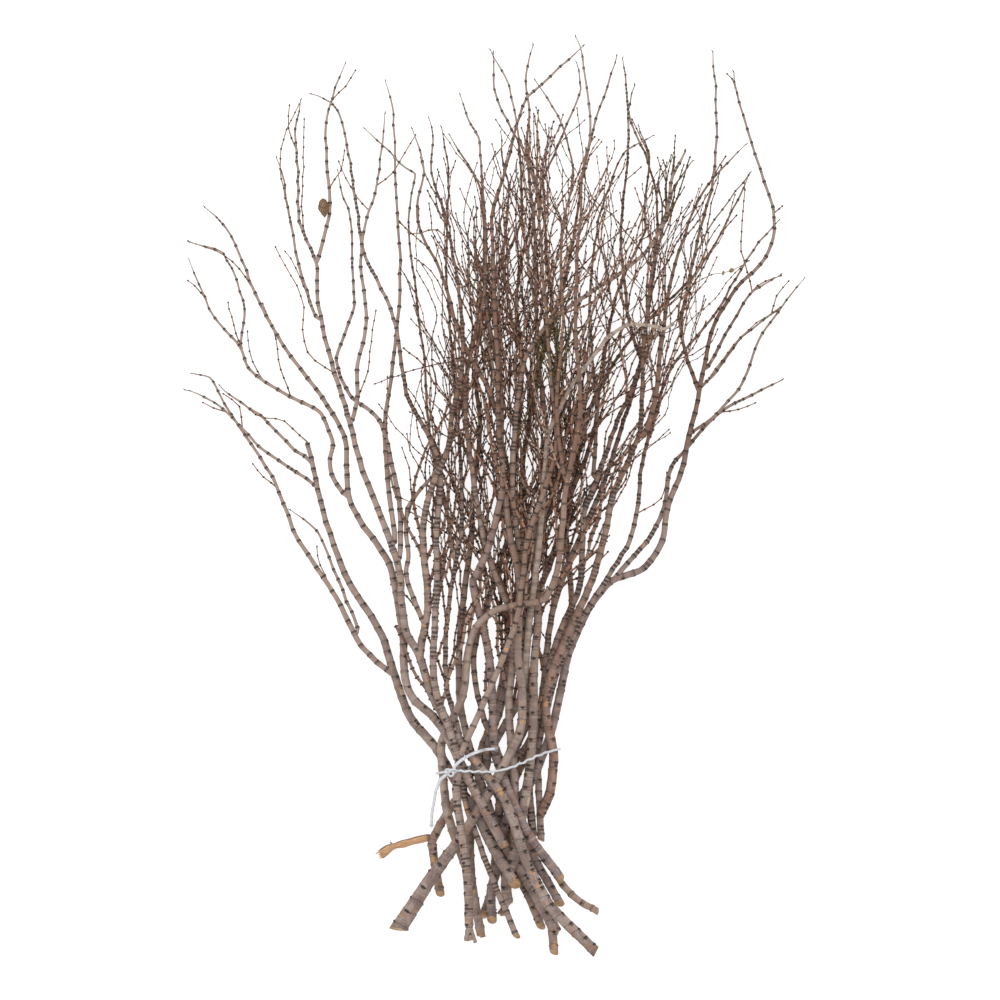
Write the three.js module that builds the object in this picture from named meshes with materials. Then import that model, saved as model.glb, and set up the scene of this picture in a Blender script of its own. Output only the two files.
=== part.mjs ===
// A bundle of ringed twigs, cut and tied with one turn of white string, lying on a flat surface.
//
// +Y runs from the cut butts to the fine tips, +X is to the right seen from above, +Z is up.
// Every stem is a bent, tapering rod. A stem that divides is split at its main forks, and each
// fork is a rod of its own that starts against the side of the stem that carries it.
import * as THREE from "three";

// Driving dimensions, in millimetres.
const BUNDLE_LENGTH = 1100; // from the lowest butt to the highest tip
// The pile's height before its stems settle against each other, which raises it by about half at the string.
const TIE_THICKNESS = 60;
const CROWN_THICKNESS = 270;
const BUTT_THICKNESS = 92;
const STRING_DIAMETER = 3;
const TOUCH_GAP = 0.4; // left between pieces that touch

// The routes below are read off a photograph taken from straight above, in its pixels.
const TOP_PX = 37; // highest tip
const BOTTOM_PX = 954; // lowest butt
const TIE_PX = 762; // middle of the string
const CENTRE_PX = [494.5, 495.5]; // middle of the bundle's outline
const MM_PER_PX = BUNDLE_LENGTH / (BOTTOM_PX - TOP_PX);

// How finely a rod is made.
const SIDES = 6;
const LONGEST_STRETCH = 90; // a rod is straight for no longer than this
const ROUTE_TOLERANCE = 1.7; // and strays no further than this from its smooth route
const FLAT = Math.cos(Math.PI / SIDES); // a rod's flat side is this share of its radius from the axis
const FLOOR_SNAP = 0.35; // a corner this near the floor lies on it
const ROUTE_STEPS = 400; // points on a smooth route
const TAPER_POWER = 1.15;
const FLARE_LENGTH = 100; // a thick butt narrows over this length
const FLARE_WIDEST = 30; // and is widest this far from its cut

// Each stem: girth is its diameter at the butt and at the tip. height is its place in the pile at
// the butt, under the string and at the tip, from 0 on the floor to 1 on top. route runs from butt to tip.
const STEMS = [
  {
    name: "stem_outer_left", girth: [13, 6], height: [0.8, 0.45, 0.02],
    route: [[516, 885], [500, 858], [480, 826], [462, 793], [447, 770], [434, 746], [413, 722], [400, 695],
      [390, 662], [378, 628], [350, 585], [330, 535], [318, 493], [307, 442]],
  },
  {
    name: "stem_left_arch", girth: [12, 2.4], height: [0.95, 0.85, 0.3],
    route: [[505, 847], [488, 817], [473, 787], [461, 762], [447, 735], [427, 710], [408, 690], [405, 655],
      [401, 622], [396, 590], [386, 558], [368, 533], [353, 508], [348, 490], [346, 462], [345, 440],
      [332, 412], [312, 385], [290, 355], [270, 322], [254, 290], [237, 248], [218, 220], [203, 205]],
  },
  {
    name: "stem_left_main", girth: [13.5, 2.4], height: [1, 1, 0.5],
    route: [[596, 952], [575, 930], [552, 908], [535, 880], [524, 855], [514, 828], [506, 803], [492, 783],
      [475, 762], [458, 740], [444, 718], [430, 690], [419, 655], [408, 637], [402, 605], [400, 570],
      [390, 540], [375, 502], [360, 462], [350, 422], [338, 385], [325, 338], [318, 300], [316, 262],
      [306, 240], [298, 210], [299, 185], [296, 150], [296, 125], [302, 98]],
  },
  {
    name: "stem_hooked", girth: [11, 2.4], height: [0.9, 0.95, 0.6],
    route: [[470, 940], [467, 905], [467, 875], [463, 845], [459, 815], [456, 785], [458, 758], [450, 733],
      [440, 705], [436, 690], [433, 660], [435, 620], [437, 580], [436, 540], [438, 500], [440, 465],
      [428, 438], [412, 408], [404, 380], [398, 335], [383, 292], [366, 258], [359, 220], [352, 175],
      [345, 135], [335, 108], [322, 98], [309, 95]],
  },
  {
    name: "stem_crossing", girth: [11, 2.4], height: [0.5, 0.6, 0.95],
    route: [[466, 868], [457, 845], [450, 825], [445, 795], [442, 765], [442, 742], [450, 720], [461, 700],
      [466, 675], [469, 645], [479, 624], [500, 609], [520, 605], [542, 600], [555, 580], [560, 550],
      [563, 520], [566, 490], [572, 460], [578, 430], [580, 400], [577, 360], [576, 320], [576, 280],
      [578, 240], [582, 200], [583, 165], [590, 135], [587, 110], [585, 85], [580, 50], [575, 37]],
  },
  {
    name: "stem_grey_left", girth: [11, 2.4], height: [0.3, 0.4, 0.7],
    route: [[514, 872], [513, 820], [513, 780], [511, 740], [509, 700], [513, 660], [515, 625], [506, 598],
      [495, 575], [488, 550], [481, 525], [475, 490], [470, 455], [466, 420], [465, 390], [472, 350],
      [483, 300], [486, 265], [485, 225], [483, 195], [482, 160], [478, 137], [468, 120], [460, 93]],
  },
  {
    name: "stem_purple", girth: [12, 2.6], height: [0.75, 0.65, 0.75],
    route: [[561, 879], [545, 858], [530, 835], [516, 808], [505, 783], [496, 758], [493, 720], [491, 680],
      [487, 645], [480, 612], [473, 588], [479, 568], [488, 550], [491, 535], [497, 515], [503, 480],
      [500, 440], [498, 400], [497, 350], [494, 300], [493, 250], [492, 215], [500, 190], [507, 165],
      [515, 132], [527, 100], [548, 80], [570, 58], [585, 46]],
  },
  {
    name: "stem_thick", girth: [13.5, 2.6], flare: 18, height: [0.35, 0.8, 0.65],
    route: [[398, 930], [415, 905], [435, 873], [457, 844], [478, 812], [497, 780], [512, 752], [521, 725],
      [522, 690], [518, 655], [519, 615], [518, 570], [510, 535], [505, 500], [502, 460], [501, 420],
      [500, 380], [492, 340], [486, 300], [484, 260], [484, 230], [483, 205], [477, 180], [462, 158],
      [448, 134]],
  },
  {
    name: "stem_centre", girth: [13, 2.4], height: [0.3, 0.7, 0.5],
    route: [[508, 906], [506, 880], [509, 855], [514, 828], [521, 795], [529, 760], [533, 730], [533, 700],
      [533, 665], [537, 630], [536, 600], [533, 560], [536, 520], [545, 480], [548, 440], [543, 400],
      [538, 350], [536, 300], [535, 250], [533, 210], [528, 170], [526, 140], [529, 112], [526, 80],
      [529, 55], [533, 43]],
  },
  {
    name: "stem_red", girth: [12, 2.4], height: [0.35, 0.5, 0.55],
    route: [[540, 815], [549, 797], [553, 770], [553, 748], [547, 725], [547, 700], [551, 675], [565, 642],
      [579, 610], [592, 580], [601, 550], [608, 520], [617, 485], [632, 455], [640, 425], [642, 390],
      [643, 350], [647, 310], [652, 270], [664, 225], [670, 198], [680, 178], [694, 160]],
  },
  {
    name: "stem_outer_right", girth: [12, 2.6], height: [0.2, 0.45, 0.2],
    route: [[492, 921], [491, 895], [496, 868], [505, 838], [517, 808], [530, 783], [541, 757], [551, 733],
      [557, 708], [562, 680], [567, 655], [579, 628], [595, 600], [613, 580], [637, 573], [655, 555],
      [664, 535], [668, 505], [678, 485], [684, 460], [692, 425], [700, 392], [706, 365], [710, 338],
      [722, 310], [742, 282], [762, 262], [773, 238], [774, 212], [764, 178], [750, 135], [738, 95],
      [733, 69]],
  },
  {
    name: "stem_right_arch", girth: [9, 2.4], height: [0.3, 0.3, 0.4],
    route: [[541, 841], [538, 812], [536, 780], [537, 750], [543, 720], [553, 690], [561, 665], [572, 640],
      [585, 614], [600, 590], [618, 562], [632, 535], [638, 505], [640, 475], [648, 440], [658, 405],
      [670, 372], [688, 345], [710, 322], [728, 292], [745, 262], [762, 238], [781, 219]],
  },
  {
    name: "stem_banded", girth: [10, 2.4], height: [0.25, 0.35, 0.35],
    route: [[533, 838], [531, 815], [531, 790], [533, 760], [538, 725], [545, 695], [551, 665], [557, 640],
      [567, 615], [577, 595], [582, 560], [583, 525], [588, 500], [600, 470], [610, 445], [618, 420],
      [632, 390], [640, 360], [632, 335], [627, 300], [622, 255], [621, 225], [624, 195], [628, 160],
      [626, 120], [626, 85], [623, 56]],
  },
  {
    name: "stem_right_inner", girth: [10.5, 2.4], height: [0.15, 0.25, 0.2],
    route: [[541, 927], [530, 900], [515, 872], [503, 845], [497, 815], [503, 785], [517, 760], [530, 738],
      [540, 710], [545, 675], [548, 640], [556, 600], [566, 570], [577, 545], [590, 515], [604, 483],
      [614, 452], [625, 415], [637, 380], [645, 340], [650, 300], [656, 250], [657, 200], [648, 160],
      [638, 135], [629, 112], [635, 82]],
  },
  {
    name: "stem_slim_grey", girth: [8, 2.4], height: [0.6, 0.5, 0.4],
    route: [[517, 937], [503, 905], [492, 878], [481, 845], [470, 812], [464, 785], [462, 757], [458, 730],
      [452, 706], [446, 680], [447, 640], [449, 600], [455, 570], [460, 540], [462, 505], [460, 470],
      [458, 430], [455, 390], [452, 350], [448, 300], [446, 260], [447, 220], [449, 185], [446, 150],
      [441, 125]],
  },
  {
    name: "stem_dark_brown", girth: [11, 2.4], height: [0.55, 0.3, 0.3],
    route: [[554, 953], [552, 930], [542, 907], [528, 882], [514, 858], [500, 830], [488, 800], [478, 775],
      [470, 750], [464, 725], [460, 700], [459, 670], [460, 640], [463, 600], [468, 565], [472, 530],
      [473, 495], [478, 460], [480, 420], [476, 380], [478, 340], [488, 300], [505, 260], [520, 220],
      [522, 180], [517, 140], [503, 112], [494, 85], [493, 50]],
  },
  {
    name: "stem_back_centre", girth: [9, 2.4], height: [0.5, 0.35, 0.25],
    route: [[598, 912], [580, 902], [563, 885], [548, 862], [532, 838], [518, 815], [508, 790], [500, 765],
      [492, 742], [484, 720], [478, 695], [474, 665], [478, 635], [487, 600], [498, 570], [507, 540],
      [512, 500], [515, 460], [520, 420], [522, 380], [520, 340], [517, 300], [522, 260], [530, 225],
      [540, 190], [552, 160], [562, 135], [574, 110], [581, 88], [576, 60]],
  },
  {
    name: "stem_back_right", girth: [10.5, 2.4], height: [0.45, 0.15, 0.2],
    route: [[560, 904], [550, 886], [538, 865], [525, 843], [512, 818], [500, 795], [487, 770], [484, 745],
      [492, 725], [502, 700], [508, 670], [513, 640], [522, 600], [528, 560], [527, 520], [522, 480],
      [527, 440], [532, 400], [540, 360], [552, 325], [565, 280], [575, 230], [580, 190], [588, 150],
      [598, 112], [608, 85], [618, 53]],
  },
  {
    name: "stem_torn", girth: [11, 2.4], height: [0.05, 0, 0.1],
    route: [[440, 895], [436, 872], [433, 848], [437, 830], [450, 812], [463, 790], [476, 765], [487, 740],
      [498, 712], [505, 680], [515, 650], [527, 620], [540, 590], [552, 560], [562, 530], [570, 500],
      [580, 470], [592, 440], [598, 400], [606, 350], [615, 300], [630, 262], [645, 230], [646, 200],
      [650, 160], [638, 123]],
  },
  {
    name: "stem_barkless", girth: [11, 5], height: [0.25, 0.1, 0.95],
    route: [[481, 937], [476, 910], [472, 885], [470, 860], [471, 830], [475, 800], [480, 775], [492, 750],
      [505, 725], [520, 700], [528, 665], [530, 630], [535, 590], [538, 550], [542, 510], [545, 470],
      [550, 430], [568, 392], [590, 362], [608, 338], [625, 326], [650, 326], [664, 330], [674, 324]],
  },
  {
    name: "stem_diagonal", girth: [10.5, 4.8], height: [0.05, 0.1, 0.85],
    route: [[483, 918], [492, 890], [497, 860], [498, 830], [500, 800], [508, 770], [520, 745], [528, 715],
      [527, 680], [525, 640], [528, 600], [522, 560], [515, 520], [512, 480], [514, 440], [518, 400],
      [525, 360], [545, 328], [575, 303], [605, 284], [635, 262], [656, 238], [668, 205], [671, 182],
      [685, 150]],
  },
  {
    name: "stem_low_right", girth: [10.5, 2.4], height: [0.3, 0, 0],
    route: [[558, 934], [548, 912], [536, 890], [522, 868], [512, 845], [508, 815], [514, 785], [525, 760],
      [537, 735], [548, 705], [556, 670], [566, 640], [572, 605], [570, 570], [566, 530], [572, 490],
      [580, 450], [590, 410], [610, 370], [635, 335], [660, 308], [685, 285], [704, 262], [720, 235],
      [735, 205], [752, 170]],
  },
  {
    name: "stem_low_centre", girth: [10, 2.4], height: [0, 0, 0.05],
    route: [[504, 916], [506, 890], [500, 860], [492, 830], [485, 800], [483, 770], [487, 745], [496, 715],
      [503, 685], [506, 650], [510, 610], [523, 575], [535, 545], [548, 515], [556, 480], [560, 440],
      [560, 400], [556, 350], [552, 300], [547, 250], [545, 200], [542, 155]],
  },
];

// The main forks: from names the rod that carries each, and route starts on that rod.
const FORKS = [
  { name: "fork_outer_left_upper", from: "stem_outer_left", girth: [5, 2.4], height: 0.12,
    route: [[310, 461], [290, 446], [266, 421], [242, 402], [228, 394], [218, 383]] },
  { name: "fork_outer_left_middle", from: "stem_outer_left", girth: [5, 2.2], height: 0.02,
    route: [[315, 485], [292, 469], [262, 449], [243, 428], [226, 411], [203, 397], [182, 388]] },
  { name: "fork_outer_left_lower", from: "stem_outer_left", girth: [8, 2.4], height: 0,
    route: [[389, 672], [372, 658], [357, 640], [345, 615], [328, 585], [308, 556], [292, 528], [283, 508],
      [277, 488], [266, 468], [252, 446], [237, 425], [223, 402], [208, 377], [189, 372]] },
  { name: "fork_outer_left_twin", from: "fork_outer_left_lower", girth: [5, 2.4], height: 0.15,
    route: [[364, 650], [354, 620], [343, 592], [332, 568], [325, 548], [314, 530], [302, 519], [288, 508]] },
  { name: "fork_left_arch_outer", from: "stem_left_arch", girth: [6.5, 2.2], height: 0.25,
    route: [[350, 498], [336, 484], [330, 462], [332, 440], [318, 412], [290, 397], [262, 380], [247, 366],
      [240, 346], [222, 327], [205, 300], [188, 257]] },
  { name: "fork_left_arch_upper", from: "fork_left_arch_outer", girth: [3.6, 2.2], height: 0.45,
    route: [[240, 348], [243, 330], [244, 310], [239, 288], [230, 266], [222, 253], [205, 246], [187, 241]] },
  { name: "fork_left_main_right", from: "stem_left_main", girth: [5.5, 2.2], height: 0.6,
    route: [[316, 268], [321, 248], [329, 218], [330, 190], [327, 160], [326, 125], [332, 100], [340, 78],
      [347, 62]] },
  { name: "fork_left_main_tall", from: "stem_left_main", girth: [6, 2.2], height: 0.7,
    route: [[351, 426], [357, 400], [358, 362], [366, 325], [364, 295], [361, 262], [364, 236], [370, 208],
      [377, 187], [379, 165], [382, 140], [386, 112]] },
  { name: "fork_left_main_inner", from: "stem_left_main", girth: [7, 2.2], height: 0.35,
    route: [[400, 565], [401, 520], [395, 480], [388, 450], [381, 425], [370, 410], [356, 401], [345, 388],
      [337, 362], [343, 335], [353, 312], [354, 290], [352, 250], [350, 215], [341, 190], [337, 168]] },
  { name: "fork_left_main_outer", from: "stem_left_main", girth: [4.6, 2.2], height: 0.3,
    route: [[322, 328], [311, 304], [302, 275], [293, 238], [287, 205], [282, 172], [276, 155]] },
  { name: "fork_left_main_long", from: "stem_left_main", girth: [7, 2.2], height: 0.15,
    route: [[401, 590], [397, 548], [390, 505], [386, 462], [385, 425], [390, 383], [396, 340], [399, 300],
      [400, 258], [397, 220], [395, 185], [394, 140], [392, 105], [385, 78]] },
  { name: "fork_left_main_banded", from: "stem_left_main", girth: [10, 2.2], height: 0.8,
    route: [[418, 654], [425, 630], [428, 600], [424, 560], [424, 520], [433, 485], [446, 455], [452, 415],
      [461, 375], [463, 330], [458, 285], [450, 240], [440, 200], [431, 165], [433, 140], [429, 117]] },
  { name: "fork_left_main_low", from: "fork_left_main_banded", girth: [7, 2.2], height: 0.5,
    route: [[424, 622], [413, 598], [405, 575], [408, 556], [405, 534], [409, 506], [418, 493], [434, 475],
      [448, 450], [457, 425], [463, 395], [468, 365], [471, 335]] },
  { name: "fork_hooked_right", from: "stem_hooked", girth: [8.5, 2.2], height: 0.85,
    route: [[459, 762], [466, 742], [480, 710], [492, 684], [505, 652], [515, 625], [521, 590], [524, 560],
      [530, 530], [541, 500], [550, 470], [557, 440], [553, 400], [549, 350], [545, 300], [541, 250],
      [539, 210], [531, 172], [519, 138], [513, 105], [505, 78], [489, 50]] },
  { name: "fork_red_right", from: "stem_red", girth: [8, 2.2], height: 0.35,
    route: [[634, 452], [648, 425], [656, 395], [660, 362], [663, 330], [669, 290], [680, 250], [692, 215],
      [707, 185], [727, 165], [748, 143]] },
  { name: "fork_outer_right_low", from: "stem_outer_right", girth: [7, 3], height: 0,
    route: [[613, 580], [630, 560], [648, 540], [661, 517], [667, 495], [671, 470], [683, 453], [700, 435],
      [722, 412], [748, 397], [785, 378]] },
  { name: "fork_outer_right_tip", from: "stem_outer_right", girth: [4.6, 2.2], height: 0.05,
    route: [[690, 434], [712, 418], [730, 398], [748, 374], [752, 358], [764, 332], [785, 303], [806, 276]] },
  { name: "fork_outer_right_thin", from: "stem_outer_right", girth: [4, 2.2], height: 0.15,
    route: [[702, 386], [715, 374], [730, 352], [750, 330], [783, 306]] },
  { name: "fork_outer_right_mid", from: "stem_outer_right", girth: [5, 2.2], height: 0.4,
    route: [[703, 378], [722, 342], [740, 310], [755, 290], [783, 273]] },
  { name: "fork_outer_right_tall", from: "stem_outer_right", girth: [6, 2.4], height: 0.45,
    route: [[700, 396], [690, 366], [683, 340], [683, 310], [690, 280], [697, 245], [705, 210], [713, 180],
      [715, 140], [716, 100], [712, 50]] },
  { name: "fork_crossing_left", from: "stem_crossing", girth: [6, 2.2], height: 1,
    route: [[566, 490], [560, 450], [556, 410], [560, 360], [563, 310], [560, 260], [565, 215], [572, 180],
      [569, 150], [558, 122], [550, 103], [534, 80]] },
  { name: "fork_thick_left", from: "stem_thick", girth: [7, 2.2], height: 0.9,
    route: [[501, 440], [493, 400], [478, 370], [462, 340], [450, 300], [436, 262], [421, 232], [417, 205],
      [424, 170], [416, 140], [411, 128]] },
  { name: "fork_banded_left", from: "stem_banded", girth: [6, 2.2], height: 0.5,
    route: [[586, 508], [594, 470], [597, 430], [596, 390], [592, 350], [590, 300], [594, 250], [600, 215],
      [612, 180], [625, 152], [655, 135]] },
  { name: "fork_slim_left", from: "stem_slim_grey", girth: [5, 2.2], height: 0.25,
    route: [[455, 570], [448, 520], [440, 485], [432, 450], [427, 410], [424, 360], [418, 310], [412, 260],
      [408, 215], [415, 175], [401, 163], [363, 126]] },
  { name: "fork_centre_left", from: "stem_centre", girth: [6, 2.2], height: 0.6,
    route: [[547, 450], [536, 410], [526, 370], [512, 320], [503, 270], [505, 230], [509, 195], [503, 160],
      [501, 130]] },
];
const TORN_STUB = { name: "fork_torn_stub", from: "stem_torn", girth: [8, 9], height: 0.1,
  route: [[432, 836], [423, 840.5], [406, 845.5], [395, 847], [381, 855]] };

// The string passes under the stems straight below this line. Over them it sags a little towards the butts.
const STRING_LEFT_PX = [441, 773];
const STRING_RIGHT_PX = [557, 750];
const STRING_SAG = 11;
const STRING_GAP = 0.8; // between the string and the bark under it
const LOOP_STEPS = 36; // turns at which the string is laid against the pile
const LOOP_STRETCH = 12; // and it is straight for no longer than this
const STRING_SIDES = 6;
const TAIL_SIDES = 8;
const TAIL_STEP = 6;
const SLIDE_STEP = 0.5;

// The knot sits on the string at its upper left corner, and two cut tails leave it.
const KNOT_SIZE = [12, 8, 7];
const KNOT_TURN = (125 * Math.PI) / 180; // from straight right, round the pile's section
const FRONT_TAIL_PX = [[456, 765], [463, 759], [475, 753], [485, 750], [495, 749]];
const FRONT_TAIL_SEATS = 14;
const LEFT_TAIL_PX = [[440, 781], [436, 792], [434, 804], [432, 815], [432, 826]];
const LEFT_TAIL_DROP = 24; // how far its cut end hangs below the knot

// Settling: stems that would run through each other push apart, mostly up and down.
const SETTLE_ROUNDS = 900;
const FREE_ROUNDS = 300; // the last rounds, with no pull back to the drawn routes
const SIDEWAYS_SHARE = 0.35; // how freely a stem gives way sideways
const PULL_BACK = 0.04;
const PULL_DOWN = 0.012;
const BEND_STIFFNESS = 0.12;
const LEVEL = 1e-3;
const UNDER_STRING = 8; // room left under the pile for the string
const UNDER_STRING_REACH = 150;

// A point of the photograph in the bundle's frame, in millimetres.
function place([px, py]) {
  return new THREE.Vector3((px - CENTRE_PX[0]) * MM_PER_PX, (CENTRE_PX[1] - py) * MM_PER_PX, 0);
}

const TIE_Y = place([0, TIE_PX]).y;
const TIP_Y = place([0, TOP_PX]).y;
const BUTT_Y = place([0, BOTTOM_PX]).y;

// How high a rod's axis lies at a given place along the bundle.
function pileHeight(y, [butt, tie, tip]) {
  if (y < TIE_Y) {
    const share = (TIE_Y - y) / (TIE_Y - BUTT_Y);
    return THREE.MathUtils.lerp(tie * TIE_THICKNESS, butt * BUTT_THICKNESS, share);
  }
  const share = (y - TIE_Y) / (TIP_Y - TIE_Y);
  return THREE.MathUtils.lerp(tie * TIE_THICKNESS, tip * CROWN_THICKNESS, share);
}

function radiusAlong({ girth, flare = 0 }, share, length) {
  const fromButt = share * length;
  const taper = THREE.MathUtils.lerp(girth[0], girth[1], share ** TAPER_POWER);
  const atCut = THREE.MathUtils.clamp(0.4 + (0.6 * fromButt) / FLARE_WIDEST, 0, 1);
  const swelling = flare * atCut * Math.max(0, 1 - fromButt / FLARE_LENGTH) ** 1.3;
  return (taper + swelling) / 2;
}

// The fewest points of a line that stay near enough to it, from the first index to the last.
function faithful(line, first, last) {
  const stretch = new THREE.Line3(line[first], line[last]);
  const on = new THREE.Vector3();
  let [worst, middle] = [0, Math.floor((first + last) / 2)];
  for (let i = first + 1; i < last; i++) {
    const away = stretch.closestPointToPoint(line[i], true, on).distanceTo(line[i]);
    if (away > worst) [worst, middle] = [away, i];
  }
  if (worst < ROUTE_TOLERANCE) {
    if (stretch.distance() < LONGEST_STRETCH) return [line[last]];
    middle = Math.floor((first + last) / 2);
  }
  return [...faithful(line, first, middle), ...faithful(line, middle, last)];
}

// A rod as a chain of joints: its axis points, their radii and the places they are drawn at.
function chain(spec, fine) {
  const axis = [fine[0], ...faithful(fine, 0, fine.length - 1)].map((p) => p.clone());
  const reached = [0];
  axis.slice(1).forEach((p, i) => reached.push(reached[i] + p.distanceTo(axis[i])));
  const length = reached[axis.length - 1];
  const radii = reached.map((along) => radiusAlong(spec, along / length, length));
  return { spec, axis, radii, drawn: axis.map((p) => p.clone()), steps: axis.length - 1 };
}

function smooth(route) {
  return new THREE.CatmullRomCurve3(route.map(place), false, "centripetal").getSpacedPoints(ROUTE_STEPS);
}

function stemChain(spec) {
  const made = chain(spec, smooth(spec.route));
  made.axis.forEach((p) => (p.z = pileHeight(p.y, spec.height)));
  return made;
}

// The point of a chain nearest to a point, seen from above: its segment and the share along it.
function nearestOn(carrier, point) {
  let best = { distance: Infinity };
  for (let i = 0; i < carrier.steps; i++) {
    const a = carrier.axis[i];
    const b = carrier.axis[i + 1];
    const along = new THREE.Vector2(b.x - a.x, b.y - a.y);
    const share = THREE.MathUtils.clamp(
      ((point.x - a.x) * along.x + (point.y - a.y) * along.y) / along.lengthSq(), 0, 1);
    const at = a.clone().lerp(b, share);
    const distance = Math.hypot(at.x - point.x, at.y - point.y);
    const radius = THREE.MathUtils.lerp(carrier.radii[i], carrier.radii[i + 1], share);
    if (distance < best.distance) best = { distance, at, radius, index: i, share };
  }
  return best;
}

// A fork starts where it has just come clear of the side of the rod that carries it.
function forkChain(spec, carrier) {
  const fine = smooth(spec.route);
  const own = spec.girth[0] / 2;
  const start = fine.findIndex((p) => {
    const beside = nearestOn(carrier, p);
    return beside.distance > beside.radius + own + TOUCH_GAP;
  });
  const root = nearestOn(carrier, fine[start]);
  const made = chain(spec, fine.slice(start));
  const tipHeight = pileHeight(made.axis[made.steps].y, [spec.height, spec.height, spec.height]);
  made.axis.forEach((p, i) => (p.z = THREE.MathUtils.lerp(root.at.z, tipHeight, i / made.steps)));
  made.carrier = carrier;
  made.root = root;
  return made;
}

// The shortest line between two straight stretches: the shares along each and the vector between them.
const d1 = new THREE.Vector3();
const d2 = new THREE.Vector3();
const offset = new THREE.Vector3();
function closest(p1, q1, p2, q2) {
  d1.subVectors(q1, p1);
  d2.subVectors(q2, p2);
  offset.subVectors(p1, p2);
  const a = d1.dot(d1);
  const e = d2.dot(d2);
  const f = d2.dot(offset);
  const c = d1.dot(offset);
  const b = d1.dot(d2);
  const denominator = a * e - b * b;
  let s = denominator > 1e-9 ? THREE.MathUtils.clamp((b * f - c * e) / denominator, 0, 1) : 0.5;
  let t = (b * s + f) / e;
  if (t < 0 || t > 1) {
    t = THREE.MathUtils.clamp(t, 0, 1);
    s = THREE.MathUtils.clamp((b * t - c) / a, 0, 1);
  }
  const between = offset.clone().addScaledVector(d1, s).addScaledVector(d2, -t);
  return { s, t, between };
}

function segmentsOf(chains) {
  return chains.flatMap((owner, rank) =>
    Array.from({ length: owner.steps }, (_, i) => ({
      owner, rank, i, radius: Math.max(owner.radii[i], owner.radii[i + 1]),
    })));
}

function ends({ owner, i }) {
  return [owner.axis[i], owner.axis[i + 1]];
}

// Whether the boxes round two stretches touch.
function near(one, two) {
  const reach = (one.radius + two.radius + TOUCH_GAP) / 2;
  const first = new THREE.Box3().setFromPoints(ends(one)).expandByScalar(reach);
  return first.intersectsBox(new THREE.Box3().setFromPoints(ends(two)).expandByScalar(reach));
}

function radiusAt(owner, i, share) {
  return THREE.MathUtils.lerp(owner.radii[i], owner.radii[i + 1], share);
}

// Moves two stretches apart if they are closer than touching. Of two that meet level, the one that belongs
// higher in the pile goes up.
function pushApart(one, two) {
  const [a, b] = ends(one);
  const [c, d] = ends(two);
  const { s, t, between } = closest(a, b, c, d);
  const need = radiusAt(one.owner, one.i, s) + radiusAt(two.owner, two.i, t) + TOUCH_GAP;
  const distance = between.length();
  if (distance >= need) return;
  if (Math.abs(between.z) < LEVEL) {
    between.z = one.owner.rankHeight >= two.owner.rankHeight ? LEVEL : -LEVEL;
  }
  const way = between.clone();
  way.x *= SIDEWAYS_SHARE;
  way.y *= SIDEWAYS_SHARE;
  way.normalize();
  const along = Math.max(0.35, Math.abs(way.dot(between.clone().normalize())));
  const push = (0.5 * (need - distance)) / along;
  a.addScaledVector(way, push * (1 - s));
  b.addScaledVector(way, push * s);
  c.addScaledVector(way, -push * (1 - t));
  d.addScaledVector(way, -push * t);
}

// The lowest a rod's axis can lie: on the floor, or on the string where that passes under the pile.
function lowest(y, radius) {
  const string = UNDER_STRING * Math.max(0, 1 - Math.abs(y - TIE_Y) / UNDER_STRING_REACH);
  return radius * FLAT + string;
}

function holdToFloor({ axis, radii }) {
  axis.forEach((p, i) => (p.z = Math.max(p.z, lowest(p.y, radii[i]))));
}

// Pulls a chain back to its drawn route, down into the pile, and towards a fair curve.
function relax(owner) {
  const { axis, drawn, steps, restHeight, carrier, root } = owner;
  for (let i = 0; i <= steps; i++) {
    axis[i].x += (drawn[i].x - axis[i].x) * PULL_BACK;
    axis[i].y += (drawn[i].y - axis[i].y) * PULL_BACK;
    axis[i].z += (restHeight[i] - axis[i].z) * PULL_DOWN;
  }
  for (let i = 1; i < steps; i++) {
    const fair = (axis[i - 1].z + axis[i + 1].z) / 2;
    axis[i].z += (fair - axis[i].z) * BEND_STIFFNESS;
  }
  if (carrier) {
    const height = carrier.axis[root.index].clone().lerp(carrier.axis[root.index + 1], root.share).z;
    axis[0].z += (height - axis[0].z) * 0.5;
  }
}

function settle(chains) {
  chains.forEach((owner) => {
    owner.restHeight = owner.axis.map((p) => p.z);
    owner.rankHeight = owner.restHeight.reduce((sum, z) => sum + z, 0) / owner.restHeight.length;
  });
  const segments = segmentsOf(chains);
  let pairs = [];
  for (let round = 0; round < SETTLE_ROUNDS; round++) {
    if (round % 25 === 0) {
      pairs = [];
      segments.forEach((one, k) => {
        for (let m = k + 1; m < segments.length; m++) {
          if (segments[m].rank !== one.rank && near(one, segments[m])) pairs.push([one, segments[m]]);
        }
      });
    }
    if (round < SETTLE_ROUNDS - FREE_ROUNDS) chains.forEach(relax);
    pairs.forEach(([one, two]) => pushApart(one, two));
    chains.forEach(holdToFloor);
  }
}

// The directions across a rod at one of its joints: to the side, level with the floor, and upwards.
function across(axis, i) {
  const along = axis[Math.min(i + 1, axis.length - 1)].clone().sub(axis[Math.max(i - 1, 0)]).normalize();
  const side = along.clone().cross(new THREE.Vector3(0, 0, 1)).normalize();
  return { side, up: side.clone().cross(along) };
}

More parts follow.
